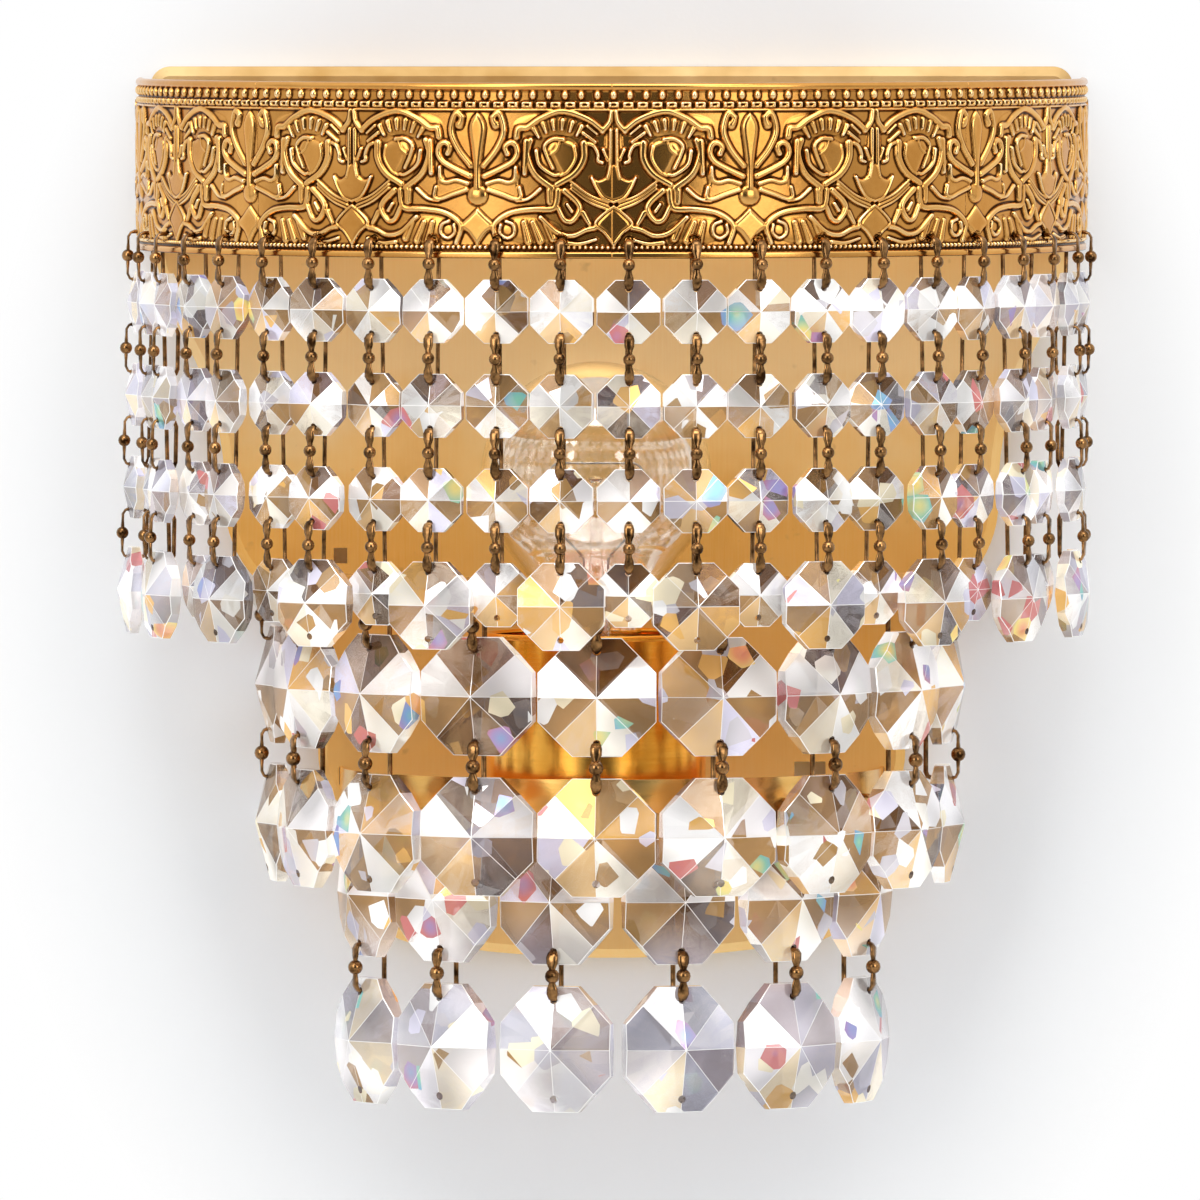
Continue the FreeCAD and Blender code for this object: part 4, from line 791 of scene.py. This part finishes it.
# width, height, half thickness at the middle and at the flats, hole inset, hole radius
CUTS = {"small": (SMALL_WIDE, SMALL_WIDE, 3.3, 1.3, 2.3, 0.85),
        "medium": (MEDIUM_WIDE, MEDIUM_WIDE, 4.4, 1.6, 2.6, 0.85),
        "large": (LARGE_WIDE, LARGE_WIDE, 6.0, 2.0, 3.4, 1.05),
        "tall": (TALL_WIDE, TALL_WIDE + 3.0, 6.4, 2.1, 3.4, 1.05)}
KINDS = list(CUTS)
RIM = 0.16                  # narrow polished edge round each crystal
RIDGE = 0.07                # and along the ridges between its facets


def as_object(name, shape):
    mesh = bpy.data.meshes.new(name)
    shape.to_mesh(mesh)
    shape.free()
    made = bpy.data.objects.new(name, mesh)
    bpy.context.collection.objects.link(made)
    return made


def plain_mesh(made):
    """The mesh that an object's modifiers make."""
    bpy.context.view_layer.update()
    seen = made.evaluated_get(bpy.context.evaluated_depsgraph_get())
    return bpy.data.meshes.new_from_object(seen)


def cut_octagon(name, width, height, middle, flat, inset, hole):
    """Eight kites a side round a blunt tip, with narrow strips along ridges and rim."""
    step = math.pi / 8
    fall = 2 * (middle - flat) / math.cos(step)
    strip, rim = RIDGE / width, RIM / width
    bisectors = [Vector((math.cos(step * i), math.sin(step * i))) for i in range(1, 16, 2)]
    shape = bmesh.new()

    def spot(plan, kite, side, low=0.0):
        out = middle - fall * plan.dot(bisectors[kite % 8]) - low
        return shape.verts.new((plan.x * width * MM, side * out * MM, plan.y * height * MM))

    def outline(side, reach, low):
        ring = []
        for kite, bisector in enumerate(bisectors):
            for edge, way in ((2 * kite, 1), (2 * kite + 2, -1)):
                out = Vector((math.cos(step * edge), math.sin(step * edge)))
                place = out * reach + Vector((-out.y, out.x)) * way * strip
                if way < 0:
                    ring.append(spot(bisector * reach / math.cos(step), kite, side, low))
                ring.append(spot(place, kite, side, low))
        return ring

    rims = []
    for side in (-1, 1):
        tips = [spot(b * strip / math.sin(step), k, side) for k, b in enumerate(bisectors)]
        inner = outline(side, 0.5 - rim, 0.0)
        outer = outline(side, 0.5, RIM * 0.7)
        shape.faces.new(tips)
        for k in range(8):
            a, corner, b = inner[3 * k:3 * k + 3]
            shape.faces.new([tips[k], a, corner, b])
            shape.faces.new([tips[k - 1], inner[3 * k - 1], a, tips[k]])
        for k in range(24):
            shape.faces.new([inner[k - 1], inner[k], outer[k], outer[k - 1]])
        rims.append(outer)
    for k in range(24):
        shape.faces.new([rims[0][k - 1], rims[0][k], rims[1][k], rims[1][k - 1]])
    bmesh.ops.recalc_face_normals(shape, faces=shape.faces)
    made = as_object(name, shape)
    drill = bmesh.new()
    for way in (-1, 1):
        place = (Matrix.Translation((0, 0, way * (height / 2 - inset) * MM))
                 @ Matrix.Rotation(math.pi / 2, 4, "X"))
        bmesh.ops.create_cone(drill, cap_ends=True, segments=8, radius1=hole * MM,
                              radius2=hole * MM, depth=4 * middle * MM, matrix=place)
    bit = as_object(name + "_drill", drill)
    cut = made.modifiers.new("drill", "BOOLEAN")
    cut.object = bit
    cut.solver = "EXACT"
    mesh = plain_mesh(made)
    made.modifiers.clear()
    made.data = mesh
    bpy.data.objects.remove(bit)
    # 0 to 7 front facets, 8 to 15 back facets, 20 ridges and rim, 24 on sides, 40 holes
    facet = mesh.attributes.new("facet", "FLOAT", "FACE")
    for face in mesh.polygons:
        x, z = face.center.x / width, face.center.z / height
        sector = int((math.atan2(z, x) % math.tau) / (math.pi / 4))
        if abs(face.normal.y) > 0.9:
            value = sector + (8 if face.normal.y > 0 else 0)
            if face.area < width * height * MM * MM * 0.02:
                value = 20
        else:
            value = 20 if abs(face.normal.y) > 0.2 else 24 + sector
        from_hole = math.hypot(face.center.x, abs(face.center.z) - (height / 2 - inset) * MM)
        if from_hole < hole * MM and abs(face.normal.y) < 0.2:
            value = 40
        facet.data[face.index].value = value
    return made


def wire_ring(shape, places, sides=8):
    """Sweeps a section of two half widths along a closed line in the plane X = 0."""
    rows = []
    count = len(places)
    for i, (y, z, size) in enumerate(places):
        before, after = places[i - 1], places[(i + 1) % count]
        way = Vector((0, after[0] - before[0], after[1] - before[1])).normalized()
        out = Vector((1, 0, 0)).cross(way)
        row = []
        for k in range(sides):
            turn = math.tau * (k + 0.5) / sides
            wide, thin = size
            spot = Vector((math.cos(turn) * wide, y, z)) + out * math.sin(turn) * thin
            row.append(shape.verts.new(spot * MM))
        rows.append(row)
    for i in range(count):
        a, b = rows[i], rows[(i + 1) % count]
        for k in range(sides):
            shape.faces.new([a[k], a[(k + 1) % sides], b[(k + 1) % sides], b[k]])


def flattened_link(name, wire, depth, ball_radius):
    """A closed loop of wire: thin behind and across, broad and flat down the front."""
    front, back = -depth, depth
    thin, tab = (wire, wire), ball_radius * 0.88
    low = -LINK_PITCH
    flat, neck = wire * 0.6, (ball_radius * 0.5, wire * 0.85)
    places = [(0.0, 0.0, thin), (front + 1.6, 0.0, (wire * 1.3, wire)),
              (front + 0.6, -0.3, (tab * 0.8, flat)), (front, -1.3, (tab, flat)),
              (front, -2.9, (tab * 0.95, flat)), (front, -4.2, neck),
              (front, low + 4.2, neck), (front, low + 2.9, (tab * 0.9, flat)),
              (front, low + 1.5, (tab * 0.95, flat)), (front + 0.6, low + 0.3, (tab * 0.7, flat)),
              (front + 1.6, low, (wire * 1.2, wire)),
              (0.0, low, thin), (back - 1.6, low, thin), (back - 0.45, low + 0.45, thin),
              (back, low + 1.6, thin), (back, -1.6, thin), (back - 0.45, -0.45, thin),
              (back - 1.6, 0.0, thin)]
    shape = bmesh.new()
    wire_ring(shape, places)
    bmesh.ops.create_uvsphere(shape, u_segments=12, v_segments=8, radius=ball_radius * MM,
                              matrix=Matrix.Translation((0, front * MM, low / 2 * MM)))
    bmesh.ops.recalc_face_normals(shape, faces=shape.faces)
    for face in shape.faces:
        face.smooth = True
    return as_object(name, shape)


units = {kind: cut_octagon("cut_" + kind, *sizes) for kind, sizes in CUTS.items()}
links = {"fine": flattened_link("fine_link", 0.55, 3.2, 1.6),
         "stout": flattened_link("stout_link", 0.65, 4.2, 1.9)}


class Tree:
    """A Geometry Nodes tree with named inputs."""

    def __init__(self, name, inputs):
        self.tree = bpy.data.node_groups.new(name, "GeometryNodeTree")
        self.keys = {}
        for label, kind in inputs:
            socket = self.tree.interface.new_socket(label, in_out="INPUT", socket_type=kind)
            self.keys[label] = socket.identifier
        self.tree.interface.new_socket("Hung", in_out="OUTPUT", socket_type="NodeSocketGeometry")
        self.given = self.tree.nodes.new("NodeGroupInput")

    def node(self, kind, sockets=None, **settings):
        made = self.tree.nodes.new(kind)
        for name, value in settings.items():
            setattr(made, name, value)
        for name, value in (sockets or {}).items():
            if isinstance(value, bpy.types.NodeSocket):
                self.tree.links.new(value, made.inputs[name])
            else:
                made.inputs[name].default_value = value
        return made


def hanging_tree(name, kinds):
    """Sets one unit of the right kind at each station and gives each its own number."""
    inputs = [("Stations", "NodeSocketGeometry"), ("Seed", "NodeSocketInt"),
              ("Finish", "NodeSocketMaterial")] + [(kind, "NodeSocketObject") for kind in kinds]
    tree = Tree(name, inputs)
    kind_at = tree.node("GeometryNodeInputNamedAttribute", {"Name": "kind"}, data_type="INT")
    spin = tree.node("GeometryNodeInputNamedAttribute", {"Name": "spin"}, data_type="FLOAT_VECTOR")
    gathered = tree.node("GeometryNodeJoinGeometry")
    for number, kind in enumerate(kinds):
        unit = tree.node("GeometryNodeObjectInfo", {"Object": tree.given.outputs[kind]})
        chosen = tree.node("FunctionNodeCompare", {2: kind_at.outputs["Attribute"], 3: number},
                           data_type="INT", operation="EQUAL")
        hung = tree.node("GeometryNodeInstanceOnPoints", {
            "Points": tree.given.outputs["Stations"], "Selection": chosen.outputs[0],
            "Instance": unit.outputs["Geometry"], "Rotation": spin.outputs["Attribute"]})
        tree.tree.links.new(hung.outputs[0], gathered.inputs[0])
    number = tree.node("FunctionNodeRandomValue", {"Seed": tree.given.outputs["Seed"]},
                       data_type="FLOAT")
    marked = tree.node("GeometryNodeStoreNamedAttribute", {
        "Geometry": gathered.outputs[0], "Name": "mood", "Value": number.outputs[1]},
        data_type="FLOAT", domain="INSTANCE")
    whole = tree.node("GeometryNodeRealizeInstances", {0: marked.outputs[0]})
    coated = tree.node("GeometryNodeSetMaterial", {0: whole.outputs[0],
                                                   "Material": tree.given.outputs["Finish"]})
    out = tree.node("NodeGroupOutput")
    tree.tree.links.new(coated.outputs[0], out.inputs[0])
    return tree


# Painted reflections: the tone each of the eight facets mostly picks up, from the right round
# over the top, what stray facets and painted glints pick up, and the colours into which
# light is split.
FACET_TONES = [(1.0, 0.98, 1.0), (0.13, 0.055, 0.017), (0.34, 0.20, 0.10), (1.0, 0.99, 1.0),
               (0.48, 0.28, 0.12), (0.90, 0.60, 0.29), (1.0, 0.95, 0.84), (0.40, 0.23, 0.09)]
STRAY_TONES = [(1.0, 1.0, 1.0), (0.72, 0.70, 0.88), (0.12, 0.10, 0.11), (0.90, 0.50, 0.14),
               (0.12, 0.05, 0.012), (1.0, 0.93, 0.78), (1.0, 1.0, 1.0), (0.52, 0.31, 0.13)]
GLINT_TONES = [(1.0, 1.0, 1.0), (0.78, 0.76, 0.93), (1.0, 0.90, 0.66), (0.92, 0.54, 0.17),
               (0.66, 0.64, 0.70), (1.0, 1.0, 1.0), (1.0, 0.97, 0.90), (0.46, 0.27, 0.10)]
# Painted refraction: what a facet picks up where only the pale wall is behind it.
PALE_TONES = [(1.0, 1.0, 1.0), (0.62, 0.63, 0.78), (0.44, 0.45, 0.55), (1.0, 0.98, 1.0),
              (0.54, 0.54, 0.67), (1.0, 0.86, 0.62), (0.96, 0.96, 1.0), (0.34, 0.29, 0.32)]
RAINBOW = [(0.75, 0.02, 0.02), (0.98, 0.28, 0.02), (1.0, 0.78, 0.08), (0.10, 0.60, 0.42),
           (0.06, 0.36, 0.80), (0.30, 0.18, 0.62), (0.70, 0.05, 0.05)]

STRAY_FROM, GLINT_PATCH_FROM, SPLIT_FROM = 0.50, 0.84, 0.972
PALE_BELOW, PALE_BESIDE = (-0.190, -0.212), (0.088, 0.118)      # heights and half widths


def steps(colours):
    """Stops that share a ramp out evenly."""
    return [(i / len(colours), colour) for i, colour in enumerate(colours)]


def cut_crystal():
    paint = new_paint("cut_crystal")
    facet = paint.attribute("facet")
    mood = paint.attribute("mood")

    def chance(salt):
        spot = paint.node("ShaderNodeCombineXYZ", {0: facet, 1: mood * 91.0, 2: salt})
        return paint.node("ShaderNodeTexWhiteNoise", {"Vector": spot}, noise_dimensions="3D")

    ridge = facet.above(19.5) - facet.above(20.5)
    sector = paint.node("ShaderNodeMath", {0: facet + 0.5, 1: 8.0}, operation="MODULO") / 8.0
    # Painted reflections: each facet takes the tone it mostly picks up, some a stray one.
    usual = paint.ramp(sector, steps(FACET_TONES), "CONSTANT")
    stray = paint.ramp(chance(3.0), steps(STRAY_TONES), "CONSTANT")
    tone = paint.blend(chance(0.0).above(STRAY_FROM), usual, stray)
    across = paint.node("ShaderNodeSeparateXYZ", {0: paint.place()})
    # Painted refraction of the pale wall, low down and out at the sides.
    low = paint.spread(across.also("Z"), *PALE_BELOW)
    outside = paint.spread(across * across, *[edge ** 2 for edge in PALE_BESIDE])
    pale = paint.ramp(chance(7.0), steps(PALE_TONES), "CONSTANT")
    tone = paint.blend(low.most(outside) * 0.82, tone, pale)
    # Painted glints: straight-edged patches on the facets take glint tones.
    glint_patches = paint.node("ShaderNodeTexVoronoi", {"Vector": paint.place(), "Scale": 185.0},
                       out="Color")
    glint_patch = paint.node("ShaderNodeSeparateColor", {0: glint_patches})
    glint = paint.ramp(glint_patch.also("Green"), steps(GLINT_TONES), "CONSTANT")
    tone = paint.blend(glint_patch.above(GLINT_PATCH_FROM), tone, glint)
    shade = paint.spread(paint.noise(62.0, 0.0), 0.32, 0.68, 0.72, 1.22)
    tone = paint.node("ShaderNodeVectorMath", {0: tone, "Scale": shade}, operation="SCALE")
    # Painted split light: rainbow patches, a little more often on the right side.
    hue = paint.ramp(glint_patch.also("Green") + glint_patches.also("Distance") * 0.3, [
        (i / 7, colour) for i, colour in enumerate(RAINBOW)])
    red_side = paint.spread(across, 0.02, 0.10, 0.0, 0.05)
    hue = paint.blend(0.2, hue, rgb(1.0, 1.0, 1.0))
    tone = paint.blend(glint_patch.also("Blue").above(SPLIT_FROM - red_side), tone, hue)
    # Painted highlight: ridges and rim are white.
    tone = paint.blend(ridge, tone, rgb(1.0, 1.0, 1.0))
    # Painted shade: the walls of the drill holes are dark brown.
    drilled = facet.above(39.5)
    tone = paint.blend(drilled, tone, rgb(0.22, 0.15, 0.10))
    behind = facet.above(7.5) - facet.above(15.5)
    light = paint.node("ShaderNodeRGBToBW", {0: tone})
    # Painted light: the veil glows faintly in its own tone, the palest tones most.
    glow = paint.node("ShaderNodeVectorMath", {0: tone, "Scale": light}, operation="SCALE")
    veil = paint.shader(Base_Color=tone, Metallic=0.42, Roughness=0.08, Specular_IOR_Level=0.15,
                        Emission_Color=glow, Emission_Strength=0.18)
    glass = paint.shader(Base_Color=rgb(0.99, 0.99, 1.0), Roughness=0.0, IOR=1.56,
                         Transmission_Weight=1.0)
    share = (chance(5.0) * 0.24 + 0.60 + light * 0.12 + behind * 0.08).most(ridge * 0.9)
    clear = paint.node("ShaderNodeBsdfTransparent", {"Color": rgb(0.84, 0.84, 0.86)})
    return paint.finish(paint.either(paint.light_path("Is Shadow Ray"),
                                     paint.either(share, glass, veil), clear))


crystal_tree = hanging_tree("hung_crystals", KINDS)
link_tree = hanging_tree("hung_links", ["fine", "stout"])
crystal_finish = cut_crystal()
link_finish = antique_brass("link_brass", (0.032, 0.013, 0.004), (0.40, 0.21, 0.08))


def stations(name, places, kinds):
    """A mesh of bare points that say where each unit hangs and how it is turned."""
    mesh = bpy.data.meshes.new(name)
    mesh.from_pydata([place.translation for place in places], [], [])
    spin = mesh.attributes.new("spin", "FLOAT_VECTOR", "POINT")
    spin.data.foreach_set("vector", [v for place in places for v in place.to_euler()])
    mesh.attributes.new("kind", "INT", "POINT").data.foreach_set("value", kinds)
    made = bpy.data.objects.new(name, mesh)
    bpy.context.collection.objects.link(made)
    return made


def hang(name, tree, places, kinds, choices, material, seed):
    made = stations(name, places, kinds)
    modifier = made.modifiers.new("hang", "NODES")
    modifier.node_group = tree.tree
    for label, unit in choices.items():
        modifier[tree.keys[label]] = unit
    modifier[tree.keys["Seed"]] = seed
    modifier[tree.keys["Finish"]] = material
    mesh = plain_mesh(made)
    made.modifiers.clear()
    made.data = mesh
    return made


def strand(body, index, sizes, link_kind, angle, radius, z, lean):
    """Links and crystals down one strand, where the frame's strand is."""
    turn_round = math.radians(angle)
    foot = Vector((radius * math.sin(turn_round),
                   STRIP_START - radius * math.cos(turn_round), z)) * MM
    base = (Matrix.Translation(foot) @ Matrix.Rotation(turn_round, 4, "Z")
            @ Matrix.Rotation(math.radians(-lean), 4, "X"))
    crystals, crystal_kinds, loops_at = [], [], []
    drop = turn = 0.0
    for row, kind in enumerate(sizes):
        height, inset = CUTS[kind][1], CUTS[kind][4]
        square = len(sizes) == 4 and row == 3
        next_turn = 0.0 if square else math.radians(5.0) * math.sin(2.3 * index + 0.9 * row)
        loops_at.append(base @ Matrix.Translation((0, 0, -drop * MM))
                        @ Matrix.Rotation((turn + next_turn) / 2, 4, "Z"))
        drop += LINK_PITCH + height / 2 - inset
        crystals.append(base @ Matrix.Translation((0, 0, -drop * MM))
                        @ Matrix.Rotation(next_turn, 4, "Z"))
        crystal_kinds.append(KINDS.index(kind))
        drop += height / 2 - inset
        turn = next_turn
    glass = hang("crystals_" + body, crystal_tree, crystals, crystal_kinds, units,
                 crystal_finish, index)
    brass = hang("links_" + body, link_tree, loops_at, [int(link_kind == "stout")] * len(loops_at),
                 links, link_finish, index)
    for piece, finish in ((glass, "cut_crystal"), (brass, "antique_brass")):
        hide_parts(body)
        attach(piece, body)


for i in range(STRANDS):
    wide_end = i % 2 == 0
    strand("upper_strand_%02d" % (i + 1), i, ["small"] * 3 + ["medium" if wide_end else "small"],
           "fine", FIRST_STRAND + STRAND_STEP * i, BAND_LINE, STRAND_HOLE_Z,
           LEAN if wide_end else -LEAN)
for i in range(MIDDLES):
    strand("middle_strand_%d" % (i + 1), i, ["large"] * 2, "stout",
           FIRST_MIDDLE + MIDDLE_STEP * i, MIDDLE_LINE, MIDDLE_Z, 0.0)
for i in range(LOWERS):
    strand("lower_strand_%d" % (i + 1), i, ["tall"] * 2, "stout",
           FIRST_LOWER + LOWER_STEP * i, LOWER_LINE, LOWER_Z, 0.0)
for unit in list(units.values()) + list(links.values()):
    bpy.data.objects.remove(unit)
